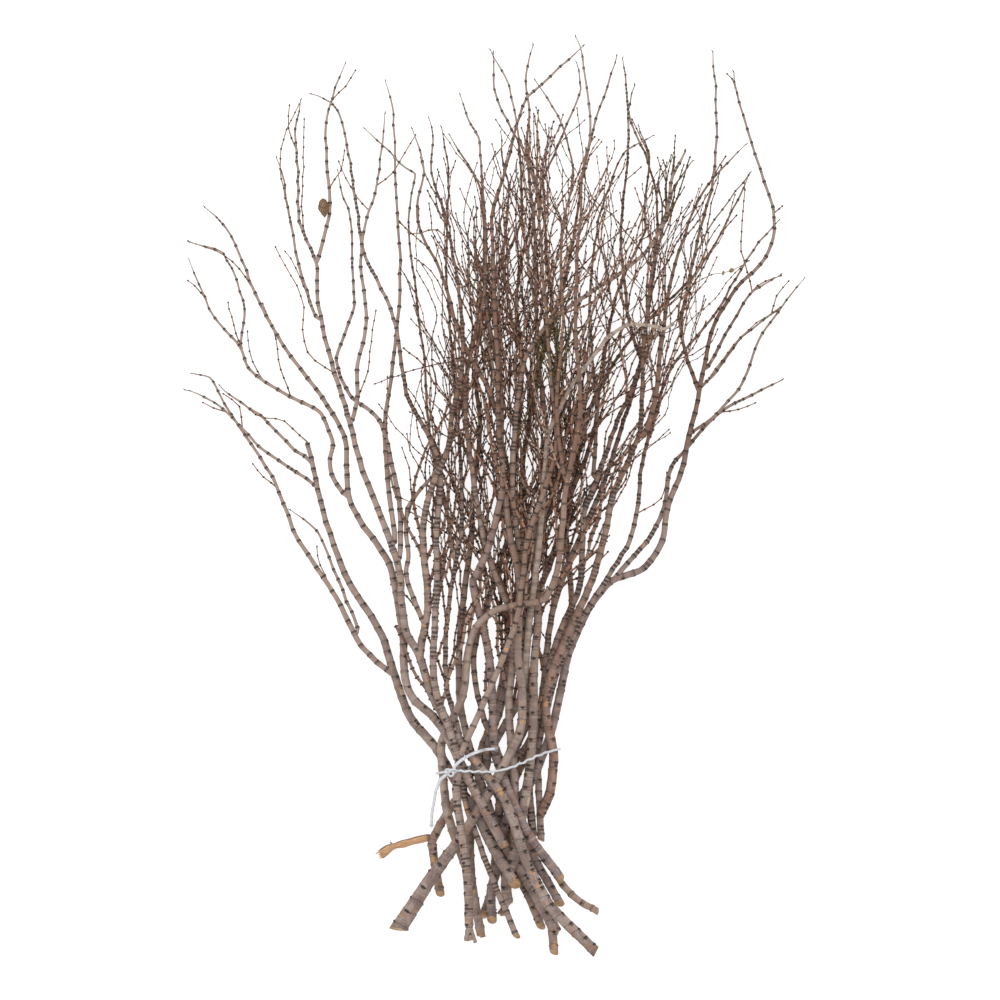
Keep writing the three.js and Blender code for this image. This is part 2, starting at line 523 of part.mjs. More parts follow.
// A straight cylinder bent onto a chain, with flat cut ends.
function rodGeometry({ axis, radii, steps }) {
  const rod = new THREE.CylinderGeometry(1, 1, 1, SIDES, steps, false, Math.PI / SIDES);
  const position = rod.getAttribute("position");
  const frames = axis.map((_, i) => across(axis, i));
  for (let v = 0; v < position.count; v++) {
    const i = Math.round((position.getY(v) + 0.5) * steps);
    const { side, up } = frames[i];
    const p = axis[i].clone()
      .addScaledVector(side, position.getX(v) * radii[i])
      .addScaledVector(up, position.getZ(v) * radii[i]);
    position.setXYZ(v, p.x, p.y, Math.abs(p.z) < FLOOR_SNAP ? 0 : p.z);
  }
  rod.computeVertexNormals();
  return rod;
}

// The upright plane of the string: where it starts, the way along it and the way across it.
const stringLeft = place(STRING_LEFT_PX);
const stringSpan = place(STRING_RIGHT_PX).distanceTo(stringLeft);
const alongString = place(STRING_RIGHT_PX).sub(stringLeft).normalize();
const acrossString = new THREE.Vector3(-alongString.y, alongString.x, 0);

// How far the string lies from that plane, at a distance along it.
function sagAt(along, sag) {
  return sag * Math.sin(Math.PI * THREE.MathUtils.clamp(along / stringSpan, 0, 1)) ** 2;
}

// Where the rods pass under the string, or over it with no sag, and how far each reaches there.
function sectionsAtString(chains, sag) {
  const fromString = (point) => {
    const p = point.clone().sub(stringLeft);
    return p.dot(acrossString) + sagAt(p.dot(alongString), sag);
  };
  const found = [];
  for (const { axis, radii, steps } of chains) {
    for (let i = 0; i < steps; i++) {
      const before = fromString(axis[i]);
      const after = fromString(axis[i + 1]);
      if (before * after > 0 || before === after) continue;
      const share = before / (before - after);
      const at = axis[i].clone().lerp(axis[i + 1], share);
      const slant = Math.abs(after - before) / axis[i].distanceTo(axis[i + 1]);
      found.push({
        along: at.sub(stringLeft).dot(alongString),
        up: at.z,
        reach: THREE.MathUtils.lerp(radii[i], radii[i + 1], share) / Math.max(slant, 0.6),
      });
    }
  }
  return found;
}

// The string's outline round the pile, seen along the stems: its point that lies furthest out at each turn.
function tightOutline(chains) {
  const [overlaid, underlying] = [STRING_SAG, 0].map((sag) => sectionsAtString(chains, sag));
  return Array.from({ length: LOOP_STEPS }, (_, i) => {
    const turn = (2 * Math.PI * i) / LOOP_STEPS;
    const sections = Math.sin(turn) > 0 ? overlaid : underlying;
    const far = ({ along, up, reach }) => along * Math.cos(turn) + up * Math.sin(turn) + reach;
    const outermost = sections.reduce((best, one) => (far(one) > far(best) ? one : best));
    const reach = outermost.reach + STRING_GAP + STRING_DIAMETER / 2;
    return {
      along: outermost.along + reach * Math.cos(turn),
      up: outermost.up + reach * Math.sin(turn),
      turn,
    };
  });
}

// The string's middle line. Where it spans from one stem to another it gets points of its own, to sag there.
function tightLoop(chains) {
  const outline = tightOutline(chains);
  return outline.flatMap((one, i) => {
    const next = outline[i + 1] ?? { ...outline[0], turn: 2 * Math.PI };
    const parts = Math.ceil(Math.hypot(next.along - one.along, next.up - one.up) / LOOP_STRETCH);
    return Array.from({ length: parts }, (_, k) => {
      const [along, up, turn] = ["along", "up", "turn"].map((key) =>
        THREE.MathUtils.lerp(one[key], next[key], k / parts));
      const at = stringLeft.clone().addScaledVector(alongString, along).setZ(up);
      at.addScaledVector(acrossString, -sagAt(along, Math.sin(turn) > 0 ? STRING_SAG : 0));
      const outward = alongString.clone().multiplyScalar(Math.cos(turn)).setZ(Math.sin(turn));
      return { at, outward, turn };
    });
  });
}

// A ring bent onto the string's line.
function loopGeometry(loop) {
  const steps = loop.length;
  const ring = new THREE.TorusGeometry(1, 0.5, STRING_SIDES, steps);
  const position = ring.getAttribute("position");
  for (let v = 0; v < position.count; v++) {
    const { at, outward } = loop[(v % (steps + 1)) % steps];
    const round = (2 * Math.PI * Math.floor(v / (steps + 1))) / STRING_SIDES;
    const p = at.clone()
      .addScaledVector(outward, (Math.cos(round) * STRING_DIAMETER) / 2)
      .addScaledVector(acrossString, (-Math.sin(round) * STRING_DIAMETER) / 2);
    position.setXYZ(v, p.x, p.y, p.z);
  }
  ring.computeVertexNormals();
  return ring;
}

// Whether a ball fits at a point without touching a rod.
function isClear(chains, point, reach) {
  const stretch = new THREE.Line3();
  const on = new THREE.Vector3();
  return segmentsOf(chains).every(({ owner, i }) => {
    stretch.set(owner.axis[i], owner.axis[i + 1]).closestPointToPoint(point, true, on);
    const share = stretch.closestPointToPointParameter(point, true);
    return on.distanceTo(point) > radiusAt(owner, i, share) + reach;
  });
}

// Slides a point in from far off, to its own place or until it comes to lie against the rods.
function slideOn(chains, point, way, reach, furthest) {
  const at = point.clone().addScaledVector(way, -furthest);
  for (let gone = 0; gone < furthest && isClear(chains, at, reach); gone += SLIDE_STEP) {
    at.addScaledVector(way, SLIDE_STEP);
  }
  return at.addScaledVector(way, -SLIDE_STEP);
}

function tailGeometry(points) {
  const path = new THREE.CatmullRomCurve3(points, false, "centripetal");
  const section = new THREE.Shape().absarc(0, 0, STRING_DIAMETER / 2, 0, 2 * Math.PI);
  return new THREE.ExtrudeGeometry(section, {
    curveSegments: TAIL_SIDES / 2,
    steps: Math.round(path.getLength() / TAIL_STEP),
    extrudePath: path,
    bevelEnabled: false,
  });
}

const BARK = new THREE.MeshStandardMaterial({ color: 0x7d6f66, roughness: 0.9, metalness: 0 });
const BARE_WOOD = new THREE.MeshStandardMaterial({ color: 0xc08a58, roughness: 0.8, metalness: 0 });
const STRING = new THREE.MeshStandardMaterial({ color: 0xe6e7e8, roughness: 0.55, metalness: 0 });

function meshOf(name, geometry, material) {
  const mesh = new THREE.Mesh(geometry, material);
  mesh.name = name;
  return mesh;
}

// Every rod, settled into one pile.
const rods = STEMS.map(stemChain);
for (const spec of [...FORKS, TORN_STUB]) {
  rods.push(forkChain(spec, rods.find((rod) => rod.spec.name === spec.from)));
}
settle(rods);

const bundle = new THREE.Group();
for (const rod of rods) {
  const material = rod.spec === TORN_STUB ? BARE_WOOD : BARK;
  bundle.add(meshOf(rod.spec.name, rodGeometry(rod), material));
}

// The string, pulled tight round the pile and knotted at its upper left corner.
const loop = tightLoop(rods);
bundle.add(meshOf("string_loop", loopGeometry(loop), STRING));

const fromKnotTurn = ({ turn }) => Math.abs(turn - KNOT_TURN);
const knotSeat = loop.reduce((best, one) => (fromKnotTurn(one) < fromKnotTurn(best) ? one : best));
const knot = meshOf("string_knot", new THREE.SphereGeometry(0.5, 12, 8), STRING);
knot.scale.set(...KNOT_SIZE);
const knotAbove = (STRING_DIAMETER + KNOT_SIZE[0]) / 2;
knot.position.copy(knotSeat.at).addScaledVector(knotSeat.outward, knotAbove);
bundle.add(knot);

// The tails: one lies over the stems to the right, one hangs against the left side of the pile.
const tailReach = STRING_DIAMETER / 2 + STRING_GAP;
const drawnTail = new THREE.CatmullRomCurve3(FRONT_TAIL_PX.map(place));
const seats = drawnTail
  .getSpacedPoints(FRONT_TAIL_SEATS)
  .map((p) => slideOn(rods, p, new THREE.Vector3(0, 0, -1), tailReach, 300));
const frontTail = seats.map((p, i) => {
  const highest = Math.max(...seats.slice(Math.max(i - 2, 0), i + 3).map((seat) => seat.z));
  return p.clone().setZ(highest);
});
bundle.add(meshOf("string_tail_front", tailGeometry(frontTail), STRING));

const leftTail = LEFT_TAIL_PX.map(place).map((p, i) => {
  const drop = (LEFT_TAIL_DROP * i) / (LEFT_TAIL_PX.length - 1);
  p.z = knot.position.z - 6 - drop;
  return slideOn(rods, p, new THREE.Vector3(1, 0, 0), tailReach, 100);
});
bundle.add(meshOf("string_tail_left", tailGeometry(leftTail), STRING));

// The origin is on the floor, at the middle of the bundle without the loose tails.
bundle.updateMatrixWorld(true);
const box = new THREE.Box3();
bundle.children
  .filter((mesh) => !mesh.name.startsWith("string_tail"))
  .forEach((mesh) => box.expandByObject(mesh, true));
const middle = box.getCenter(new THREE.Vector3());
bundle.position.set(-middle.x, -middle.y, -box.min.z);

export default bundle;
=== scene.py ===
import math
import random

import bmesh
import bpy
import numpy as np
from mathutils import Matrix, Vector, geometry, noise


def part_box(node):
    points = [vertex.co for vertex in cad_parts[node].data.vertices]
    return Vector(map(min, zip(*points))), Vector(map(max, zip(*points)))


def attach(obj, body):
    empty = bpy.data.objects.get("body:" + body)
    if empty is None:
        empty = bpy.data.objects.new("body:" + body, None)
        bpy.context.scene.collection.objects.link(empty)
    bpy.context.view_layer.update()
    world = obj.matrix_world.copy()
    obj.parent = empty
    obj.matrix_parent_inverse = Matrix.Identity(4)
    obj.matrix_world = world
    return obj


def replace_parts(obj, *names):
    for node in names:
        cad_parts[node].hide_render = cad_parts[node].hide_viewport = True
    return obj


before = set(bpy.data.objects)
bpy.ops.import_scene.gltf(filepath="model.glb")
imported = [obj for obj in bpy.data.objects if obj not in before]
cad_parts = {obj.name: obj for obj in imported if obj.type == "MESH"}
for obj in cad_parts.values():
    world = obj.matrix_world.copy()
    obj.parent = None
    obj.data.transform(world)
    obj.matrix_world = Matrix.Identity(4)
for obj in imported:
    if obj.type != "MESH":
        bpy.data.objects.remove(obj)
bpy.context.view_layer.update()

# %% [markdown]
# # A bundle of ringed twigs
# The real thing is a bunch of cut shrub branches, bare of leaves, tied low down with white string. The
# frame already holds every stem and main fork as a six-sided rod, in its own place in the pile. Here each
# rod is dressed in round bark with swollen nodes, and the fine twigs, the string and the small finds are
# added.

MM = 0.001
PIXEL = 1.1996 * MM  # one pixel of the photograph, on the bundle
MIDDLE_PX = (494.19, 496.25)  # where the frame's origin is in the photograph


def spot(px, py, height=0.0):
    """A pixel of the photograph as a point of the frame, at a height over the floor."""
    return Vector(((px - MIDDLE_PX[0]) * PIXEL, (MIDDLE_PX[1] - py) * PIXEL, height))


def pixel(point):
    """The pixel of the photograph that a point of the frame is seen at."""
    return point[0] / PIXEL + MIDDLE_PX[0], MIDDLE_PX[1] - point[1] / PIXEL


def shown(name, data):
    """A new object of the scene, made from its data."""
    thing = bpy.data.objects.new(name, data)
    bpy.context.scene.collection.objects.link(thing)
    return thing


# %% [markdown]
# ## The camera
# The photograph looks straight at the widest side of the bunch. The bunch lies down here, so the camera
# looks straight down at it. A long lens from far off keeps the raised crown from growing larger than the
# low butts.

# %% Camera
CAMERA_DISTANCE = 30
SHARP_HEIGHT = 0.09  # the height over the floor at which a pixel is PIXEL wide
FRAME_PX = 1000

camera = shown("camera", bpy.data.cameras.new("camera"))
camera.location = spot(FRAME_PX / 2, FRAME_PX / 2, CAMERA_DISTANCE + SHARP_HEIGHT)
camera.data.sensor_width = 36
camera.data.lens = camera.data.sensor_width * CAMERA_DISTANCE / (FRAME_PX * PIXEL)
bpy.context.scene.camera = camera
print("lens:", round(camera.data.lens), "mm")

# %% [markdown]
# ## Bent cylinders
# Bark and string are both long round things with a bent middle line. An easy way to make one is to cut a
# straight cylinder into rings and then carry each ring to its own station on the line. The rings are turned
# as little as possible from one to the next, so the skin doesn't twist.

# %% Smooth lines
CURVE_CUTS = 12  # between two of the given points


def fair_line(points, step):
    """Points spaced evenly along a smooth curve through the given ones, and how far along each lies."""
    points = [np.array(p, float) for p in points]
    ends = [2 * points[0] - points[1], *points, 2 * points[-1] - points[-2]]
    fine = []
    for a, b, c, d in zip(ends, ends[1:], ends[2:], ends[3:]):
        for t in np.linspace(0, 1, CURVE_CUTS, endpoint=False):
            fine.append(0.5 * (2 * b + (c - a) * t + (2 * a - 5 * b + 4 * c - d) * t**2
                               + (3 * b - a - 3 * c + d) * t**3))
    fine = np.array([*fine, points[-1]])
    reached = np.concatenate([[0], np.cumsum(np.linalg.norm(np.diff(fine, axis=0), axis=1))])
    count = max(3, round(reached[-1] / step) + 1)
    along = np.linspace(0, reached[-1], count)
    return np.stack([np.interp(along, reached, fine[:, k]) for k in range(3)], axis=1), along


def turning_frames(line):
    """For each point of a line, two directions across it that turn as little as possible on the way."""
    tangents = np.gradient(line, axis=0)
    tangents /= np.linalg.norm(tangents, axis=1)[:, None]
    side = Vector(tangents[0]).cross(Vector((0, 0, 1))).normalized()
    frames = []
    for i, tangent in enumerate(tangents):
        tangent = Vector(tangent)
        side = (side - tangent * side.dot(tangent)).normalized()
        frames.append((side.copy(), side.cross(tangent), tangent))
    return frames


# %% Bend a cylinder onto a line
def bent_cylinder(line, sides, reach, shift=None):
    """A closed tube round a line. reach(i, angle) is how far its skin is from station i of the line."""
    bm = bmesh.new()
    bmesh.ops.create_cone(bm, cap_ends=True, segments=sides, radius1=1, radius2=1, depth=1)
    upright = [e for e in bm.edges if abs(e.verts[0].co.z - e.verts[1].co.z) > 0.5]
    bmesh.ops.subdivide_edges(bm, edges=upright, cuts=len(line) - 2, use_grid_fill=True)
    frames = turning_frames(line)
    station = bm.verts.layers.float.new("station")
    turn = bm.verts.layers.float.new("turn")
    for v in bm.verts:
        i = round((v.co.z + 0.5) * (len(line) - 1))
        angle = math.atan2(v.co.y, v.co.x)
        v[station], v[turn] = i, angle
        side, up, ahead = frames[i]
        out = side * math.cos(angle) + up * math.sin(angle)
        v.co = Vector(line[i]) + out * reach(i, angle)
        if shift:
            v.co += ahead * shift(i, angle)
    bmesh.ops.recalc_face_normals(bm, faces=bm.faces)
    return bm


def corners_of(bm):
    """Each corner of a bent cylinder, with its station on the line and its angle round it."""
    station, turn = (bm.verts.layers.float[name] for name in ("station", "turn"))
    for v in bm.verts:
        yield v, int(v[station]), v[turn]


def place_round(reach, angle, along):
    """A place on a round skin that was straightened out, for the noise in its finish."""
    return reach * math.cos(angle), reach * math.sin(angle), along


# %% Pieces that ride on the frame
def riding(name, mesh, materials):
    """A smooth piece made from a mesh, that rides on the frame."""
    for material in materials:
        mesh.materials.append(material)
    mesh.polygons.foreach_set("use_smooth", [True] * len(mesh.polygons))
    piece = shown(name, mesh)
    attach(piece, "root")
    return piece


def mesh_of(bm, name):
    """A mesh made from a bmesh, which is used up."""
    mesh = bpy.data.meshes.new(name)
    bm.to_mesh(mesh)
    bm.free()
    return mesh


def piece_from(bm, name, materials):
    """A piece made from a bmesh."""
    return riding(name, mesh_of(bm, name), materials)


def join(whole, part):
    """Adds one bmesh to another."""
    mesh = mesh_of(part, "part")
    whole.from_mesh(mesh)
    bpy.data.meshes.remove(mesh)


# %% [markdown]
# ## Finishes
# Every finish here is mixed from noise and from numbers that the mesh carries, with no image. Each piece
# knows its own place along and round itself, so its pattern follows its bends. A small class keeps the
# mixing short.

# %% A small kit for mixing finishes
class Finish:
    """One material, with short calls for the nodes that it is mixed from."""

    def __init__(self, name, roughness):
        self.material = bpy.data.materials.new(name)
        self.material.use_nodes = True
        self.tree = self.material.node_tree
        self.shader = self.tree.nodes["Principled BSDF"]
        self.shader.inputs["Roughness"].default_value = roughness
        self.shader.inputs["Specular IOR Level"].default_value = 0.25

    def put(self, socket, value):
        if isinstance(value, bpy.types.NodeSocket):
            self.tree.links.new(value, socket)
        elif isinstance(value, tuple) and len(value) == 3 and socket.type == "RGBA":
            socket.default_value = (*value, 1)
        else:
            socket.default_value = value

    def attribute(self, name):
        node = self.tree.nodes.new("ShaderNodeAttribute")
        node.attribute_name = name
        return node.outputs["Vector"]

    def parts(self, vector):
        node = self.tree.nodes.new("ShaderNodeSeparateXYZ")
        self.put(node.inputs[0], vector)
        return node.outputs

    def scaled(self, vector, scale):
        node = self.tree.nodes.new("ShaderNodeMapping")
        self.put(node.inputs["Vector"], vector)
        node.inputs["Scale"].default_value = scale
        return node.outputs[0]

    def cloudy(self, vector, scale, detail=3.0):
        node = self.tree.nodes.new("ShaderNodeTexNoise")
        self.put(node.inputs["Vector"], vector)
        node.inputs["Scale"].default_value = scale
        node.inputs["Detail"].default_value = detail
        return node.outputs["Fac"]

    def ramp(self, value, low, high, start=0.0, end=1.0):
        node = self.tree.nodes.new("ShaderNodeMapRange")
        node.interpolation_type = "SMOOTHSTEP"
        for socket, given in zip(node.inputs, (value, low, high, start, end)):
            self.put(socket, given)
        return node.outputs[0]

    def math(self, operation, a, b=0.0):
        node = self.tree.nodes.new("ShaderNodeMath")
        node.operation = operation
        self.put(node.inputs[0], a)
        self.put(node.inputs[1], b)
        return node.outputs[0]

    def times(self, a, b):
        return self.math("MULTIPLY", a, b)

    def plus(self, a, b):
        return self.math("ADD", a, b)

    def minus(self, a, b):
        return self.math("SUBTRACT", a, b)

    def most(self, a, b):
        return self.math("MAXIMUM", a, b)

    def length_of(self, a, b):
        return self.math("SQRT", self.plus(self.times(a, a), self.times(b, b)))

    def mix(self, share, first, second):
        node = self.tree.nodes.new("ShaderNodeMix")
        node.data_type = "RGBA"
        self.put(node.inputs[0], share)
        self.put(node.inputs[6], first)
        self.put(node.inputs[7], second)
        return node.outputs[2]

    def bump(self, height, strength, distance):
        node = self.tree.nodes.new("ShaderNodeBump")
        node.inputs["Strength"].default_value = strength
        node.inputs["Distance"].default_value = distance
        self.put(node.inputs["Height"], height)
        self.put(self.shader.inputs["Normal"], node.outputs[0])

    def colour(self, value):
        self.put(self.shader.inputs["Base Color"], value)
        return self.material


# %% [markdown]
# ## The string
# The bunch is tied with thin white packing string: a loop pulled tight round the pile, a small knot on its
# upper left corner, and two loose ends, one lying on the stems and one hanging beside them. The string is
# two strands twisted together, so a tube with a two-lobed section that turns as it goes already looks
# right.

# %% String finish
STRING_WIDE = 3.0 * MM
STRING_SIDES = 12
TWIST_EVERY = 15 * MM


def string_finish():
    """Slightly glossy white fibres that run round with the twist, with painted shade: bluish grey in the
    grooves between them.
    """
    finish = Finish("white_string", 0.42)
    place = finish.attribute("string_place")
    fibres = finish.cloudy(finish.scaled(place, (2.6, 2.6, 0.22)), 1.0, 4.0)
    soil = finish.ramp(finish.cloudy(place, 0.12), 0.45, 0.8, 0, 0.5)
    # painted shade: the low places of the fibre noise are a bluish grey, for the shade in the grooves
    tone = finish.mix(finish.ramp(fibres, 0.3, 0.66), (0.44, 0.45, 0.49), (0.80, 0.81, 0.84))
    finish.bump(fibres, 0.6, 0.4 * MM)
    return finish.colour(finish.mix(soil, tone, (0.50, 0.47, 0.43)))


STRING_WHITE = string_finish()


def twisted(points, name, wide=STRING_WIDE, flat=0.0):
    """A piece of string along a route, and its fair line. flat is how much it is pressed flat."""
    line, along = fair_line(points, 1.0 * MM)

    def twist(i, angle):
        return angle - 2 * math.pi * along[i] / TWIST_EVERY

    def lobes(i, angle):
        lobe = 0.86 + 0.14 * abs(math.cos(twist(i, angle))) ** 0.7
        return wide / 2 * lobe * (1 + flat * math.cos(2 * angle))

    bm = bent_cylinder(line, STRING_SIDES, lobes)
    string_place = bm.verts.layers.float_vector.new("string_place")
    for v, i, angle in corners_of(bm):
        v[string_place] = place_round(1.5, twist(i, angle), along[i] / MM)
    return piece_from(bm, name, [STRING_WHITE]), line


# %% The two loose ends
FRONT_TAIL_MM = (
    (-48.6, -326.4, 85.8), (-45.8, -322.4, 83.4), (-42.7, -319.5, 83.0), (-39.4, -316.8, 83.0),
    (-36.0, -314.3, 82.6), (-32.6, -312.4, 80.8), (-29.8, -311.0, 78.4), (-26.5, -309.5, 76.6),
    (-22.6, -307.8, 75.9), (-18.6, -306.4, 75.2), (-15.8, -305.6, 72.6), (-13.8, -305.0, 68.9),
    (-12.4, -304.7, 65.2), (-10.4, -304.3, 61.8), (-7.5, -303.9, 60.6), (-3.3, -303.5, 60.5),
    (1.0, -303.2, 60.5),
)
LEFT_TAIL_MM = (
    (-56.5, -333.2, 86.4), (-61.4, -337.4, 84.4), (-65.5, -341.6, 81.9), (-66.8, -345.0, 80.3),
    (-68.2, -348.5, 78.7), (-69.4, -351.9, 77.1), (-70.4, -355.5, 75.6), (-71.2, -359.1, 74.0),
    (-71.8, -362.8, 72.5), (-72.3, -366.5, 71.0), (-72.9, -370.1, 69.4), (-73.6, -373.7, 67.8),
    (-74.3, -377.3, 66.2), (-74.9, -381.0, 64.5), (-75.2, -384.6, 62.9), (-75.2, -388.2, 61.2),
    (-75.1, -395.6, 57.9),
)


def loose_end(node, route_mm, flat):
    """One loose end of the string, drawn along its route, with its real length."""
    points = [Vector(p) * MM for p in route_mm]
    piece, line = twisted(points, node + "_twine", flat=flat)
    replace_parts(piece, node)
    return line


front_line = loose_end("string_tail_front", FRONT_TAIL_MM, 0.34)
left_line = loose_end("string_tail_left", LEFT_TAIL_MM, 0.42)

# %% Frayed tips
FRAY_FIBRES = 14


def frayed_tip(line, name):
    """Loose fibres that spread from the end of a string."""
    chance = random.Random(name)
    end, ahead = Vector(line[-1]), (Vector(line[-1]) - Vector(line[-4])).normalized()
    whole = bmesh.new()
    for _ in range(FRAY_FIBRES):
        lean = Vector([chance.gauss(0, 0.33) for _ in range(3)])
        start = end - ahead * 1.5 * MM + lean * 1.5 * MM
        way = (ahead + lean).normalized() * chance.uniform(3.5, 7) * MM
        sag = Vector((0, 0, -chance.uniform(0, 1) * MM))
        fibre_line, _ = fair_line([start, start + way * 0.5, start + way + sag], 1.2 * MM)
        last = len(fibre_line) - 1
        join(whole, bent_cylinder(fibre_line, 4, lambda i, angle: (0.32 - 0.22 * i / last) * MM))
    place = whole.verts.layers.float_vector.new("string_place")
    for v in whole.verts:
        v[place] = v.co / MM
    piece_from(whole, name, [STRING_WHITE])


frayed_tip(front_line, "string_fray_front")
frayed_tip(left_line, "string_fray_left")

# %% [markdown]
# The loop follows the frame's own loop. Seen along the stems, its corners all lie on the outside of the
# pile, so the convex hull of them, taken in by half a string, is the string's middle line. How far the
# string has slid along the stems at each place is read from the corners that lie near it. The knot is the
# simplest real knot, an overhand one, drawn from its well-known curve.

# %% Loop
LOOP_STEP = 4 * MM


def loop_line():
    """The middle line of the string round the pile, as one closed round."""
    corners = [v.co.copy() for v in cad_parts["string_loop"].data.vertices]
    low, high = (f(corners, key=lambda c: c.x) for f in (min, max))
    across = Vector((high.x - low.x, high.y - low.y, 0)).normalized()
    flat = [Vector((c.dot(across), c.z)) for c in corners]
    hull = [flat[i] for i in geometry.convex_hull_2d(flat)]
    middle = sum(hull, Vector((0, 0))) / len(hull)
    line = []
    for start, stop in zip(hull, hull[1:] + hull[:1]):
        cuts = math.ceil((stop - start).length / LOOP_STEP)
        for at in (start.lerp(stop, k / cuts) for k in range(cuts)):
            weights = [math.exp(-((f - at).length / LOOP_STEP) ** 2) for f in flat]
            slid = sum((c * w for c, w in zip(corners, weights)), Vector()) / sum(weights)
            slid -= across * slid.dot(across)
            inner = at + (middle - at).normalized() * STRING_WIDE / 2
            line.append(Vector((slid.x, slid.y, 0)) + across * inner.x + Vector((0, 0, inner.y)))
    return line + line[:2]


loop_piece, _ = twisted(loop_line(), "string_round")
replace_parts(loop_piece, "string_loop")

# %% Knot
KNOT_CUTS = 40
knot_low, knot_high = (Vector(c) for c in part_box("string_knot"))
knot_middle = (knot_low + knot_high) / 2
knot_route = []
for k in range(KNOT_CUTS + 1):
    t = 2 * math.pi * (k / KNOT_CUTS * 0.94 + 0.03)
    curl = Vector((math.sin(t) + 2 * math.sin(2 * t), math.cos(t) - 2 * math.cos(2 * t),
                   -1.1 * math.sin(3 * t)))
    knot_route.append(knot_middle + Vector((curl.x * 2.3, curl.y * 1.6, curl.z * 1.5)) * MM)
knot_piece, _ = twisted(knot_route, "string_overhand", 2.9 * MM)
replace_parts(knot_piece, "string_knot")

# %% [markdown]
# ## Reading the rods
# A rod of the frame is a chain of six-cornered rings with a flat cap at each end. A cap's middle corner is
# the only one that has its six neighbours evenly round it, so the walk starts there and goes on ring by
# ring. The thicker end is the butt.

# %% Walk along each rod
def walk(node):
    """The middle and the reach of each ring of a rod, from its thick end to its thin end."""
    bm = bmesh.new()
    bm.from_mesh(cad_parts[node].data)
    bmesh.ops.remove_doubles(bm, verts=bm.verts, dist=2e-6)

    def neighbours(v):
        return [e.other_vert(v) for e in v.link_edges]

    def uneven(v):
        around = neighbours(v)
        middle = sum((n.co for n in around), Vector()) / len(around)
        reaches = [(n.co - v.co).length for n in around]
        return (middle - v.co).length + max(reaches) - min(reaches) if len(around) == 6 else 1.0

    start = min(bm.verts, key=uneven)
    seen = {start}
    ring = neighbours(start)
    rings = []
    while len(ring) == 6:
        middle = sum((v.co for v in ring), Vector()) / 6
        rings.append((middle, sum((v.co - middle).length for v in ring) / 6))
        seen.update(ring)
        ring = list({n for v in ring for n in neighbours(v)} - seen)
    bm.free()
    return rings if rings[0][1] > rings[-1][1] else rings[::-1]


rods = {name: walk(name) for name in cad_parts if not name.startswith("string")}
rods["fork_torn_stub"].reverse()
print(len(rods), "rods with", sum(len(rings) for rings in rods.values()), "rings")

# %% [markdown]
# ## Middle lines
# Each chain of rings becomes one smooth line. A fork starts a little clear of the rod that carries it, so
# its line is carried back into that rod, at the narrow angle that a real fork leaves at.

# %% Smooth each rod's line
LINE_STEP = 3 * MM
FORK_SLOPE = 1.7  # how far back along its carrier a fork starts, for each part that it stands off
SKIN_SHARE = (0.86, 0.97)  # how much of a six-sided rod's reach its skin takes, where thin and thick
CARRIED_BY = {
    "fork_outer_left_twin": "fork_outer_left_lower",
    "fork_left_arch_upper": "fork_left_arch_outer",
    "fork_left_main_low": "fork_left_main_banded",
    "fork_torn_stub": "stem_torn",
    "fork_hooked_right": "stem_hooked",
    "fork_red_right": "stem_red",
    "fork_crossing_left": "stem_crossing",
    "fork_thick_left": "stem_thick",
    "fork_banded_left": "stem_banded",
    "fork_slim_left": "stem_slim_grey",
    "fork_centre_left": "stem_centre",
}


def carrier_of(fork):
    """The rod that a fork grows out of."""
    return CARRIED_BY.get(fork) or "stem_" + fork[len("fork_"):].rsplit("_", 1)[0]


def back_into(fork, carrier_line):
    """The point of the carrier's middle line that a fork leaves from."""
    first, second = (np.array(ring[0]) for ring in rods[fork][:2])
    away = np.linalg.norm(carrier_line - first, axis=1)
    nearest = int(away.argmin())
    back = int(FORK_SLOPE * away[nearest] / LINE_STEP)
    ahead = np.dot(second - first, carrier_line[nearest] - carrier_line[max(nearest - 3, 0)])
    steps = -back if ahead > 0 else 0
    return carrier_line[int(np.clip(nearest + steps, 0, len(carrier_line) - 1))]


# %% A line for every rod
def carried_last(name):
    """Puts the stems first, then the forks on stems, then the forks on forks."""
    return name.startswith("fork"), CARRIED_BY.get(name, "").startswith("fork")


lines, reaches, alongs = {}, {}, {}
for name in sorted(rods, key=carried_last):
    middles = [np.array(ring[0]) for ring in rods[name]]
    girths = [reach * np.interp(reach, (2.5 * MM, 5 * MM), SKIN_SHARE) for _, reach in rods[name]]
    if name.startswith("fork"):
        middles.insert(0, back_into(name, lines[carrier_of(name)]))
        girths.insert(0, girths[0])
    lines[name], alongs[name] = fair_line(middles, LINE_STEP)
    at_ring = [alongs[name][np.linalg.norm(lines[name] - m, axis=1).argmin()] for m in middles]
    reaches[name] = np.interp(alongs[name], at_ring, girths)
print("length of all stems and forks:", round(sum(a[-1] for a in alongs.values()), 1), "m")

# %% [markdown]
# ## Nodes
# A shoot of this kind grows in steps. At the end of each step is a node: a slight swelling with a dark
# ring, and two leaf scars on opposite sides. The next pair of scars is turned by a quarter. The bark's
# colour needs to know where the nodes are, so the skin carries that as numbers on its corners.

# %% Where the nodes are
TIP_BUD = 2.2 * MM  # how far the last node is from the tip


def node_places(name, length):
    """How far along a rod its nodes are, in metres, a little uneven."""
    chance = random.Random(name)
    step = (chance.uniform(13.5, 17.5) if name.startswith("fork") else chance.uniform(12, 15.5)) * MM
    if name in ("fork_left_main_banded", "stem_banded", "stem_slim_grey"):
        step = 11.5 * MM
    if name in ("stem_thick", "stem_crossing"):
        step = 19 * MM
    places = [chance.uniform(0.3, 0.9) * step]
    while places[-1] < length - 0.6 * step:
        places.append(places[-1] + step * chance.uniform(0.72, 1.3))
    return np.array([*places[:-1], length - TIP_BUD])


nodes_of = {name: node_places(name, alongs[name][-1]) for name in lines}
print("nodes on stems and forks:", sum(len(places) for places in nodes_of.values()))

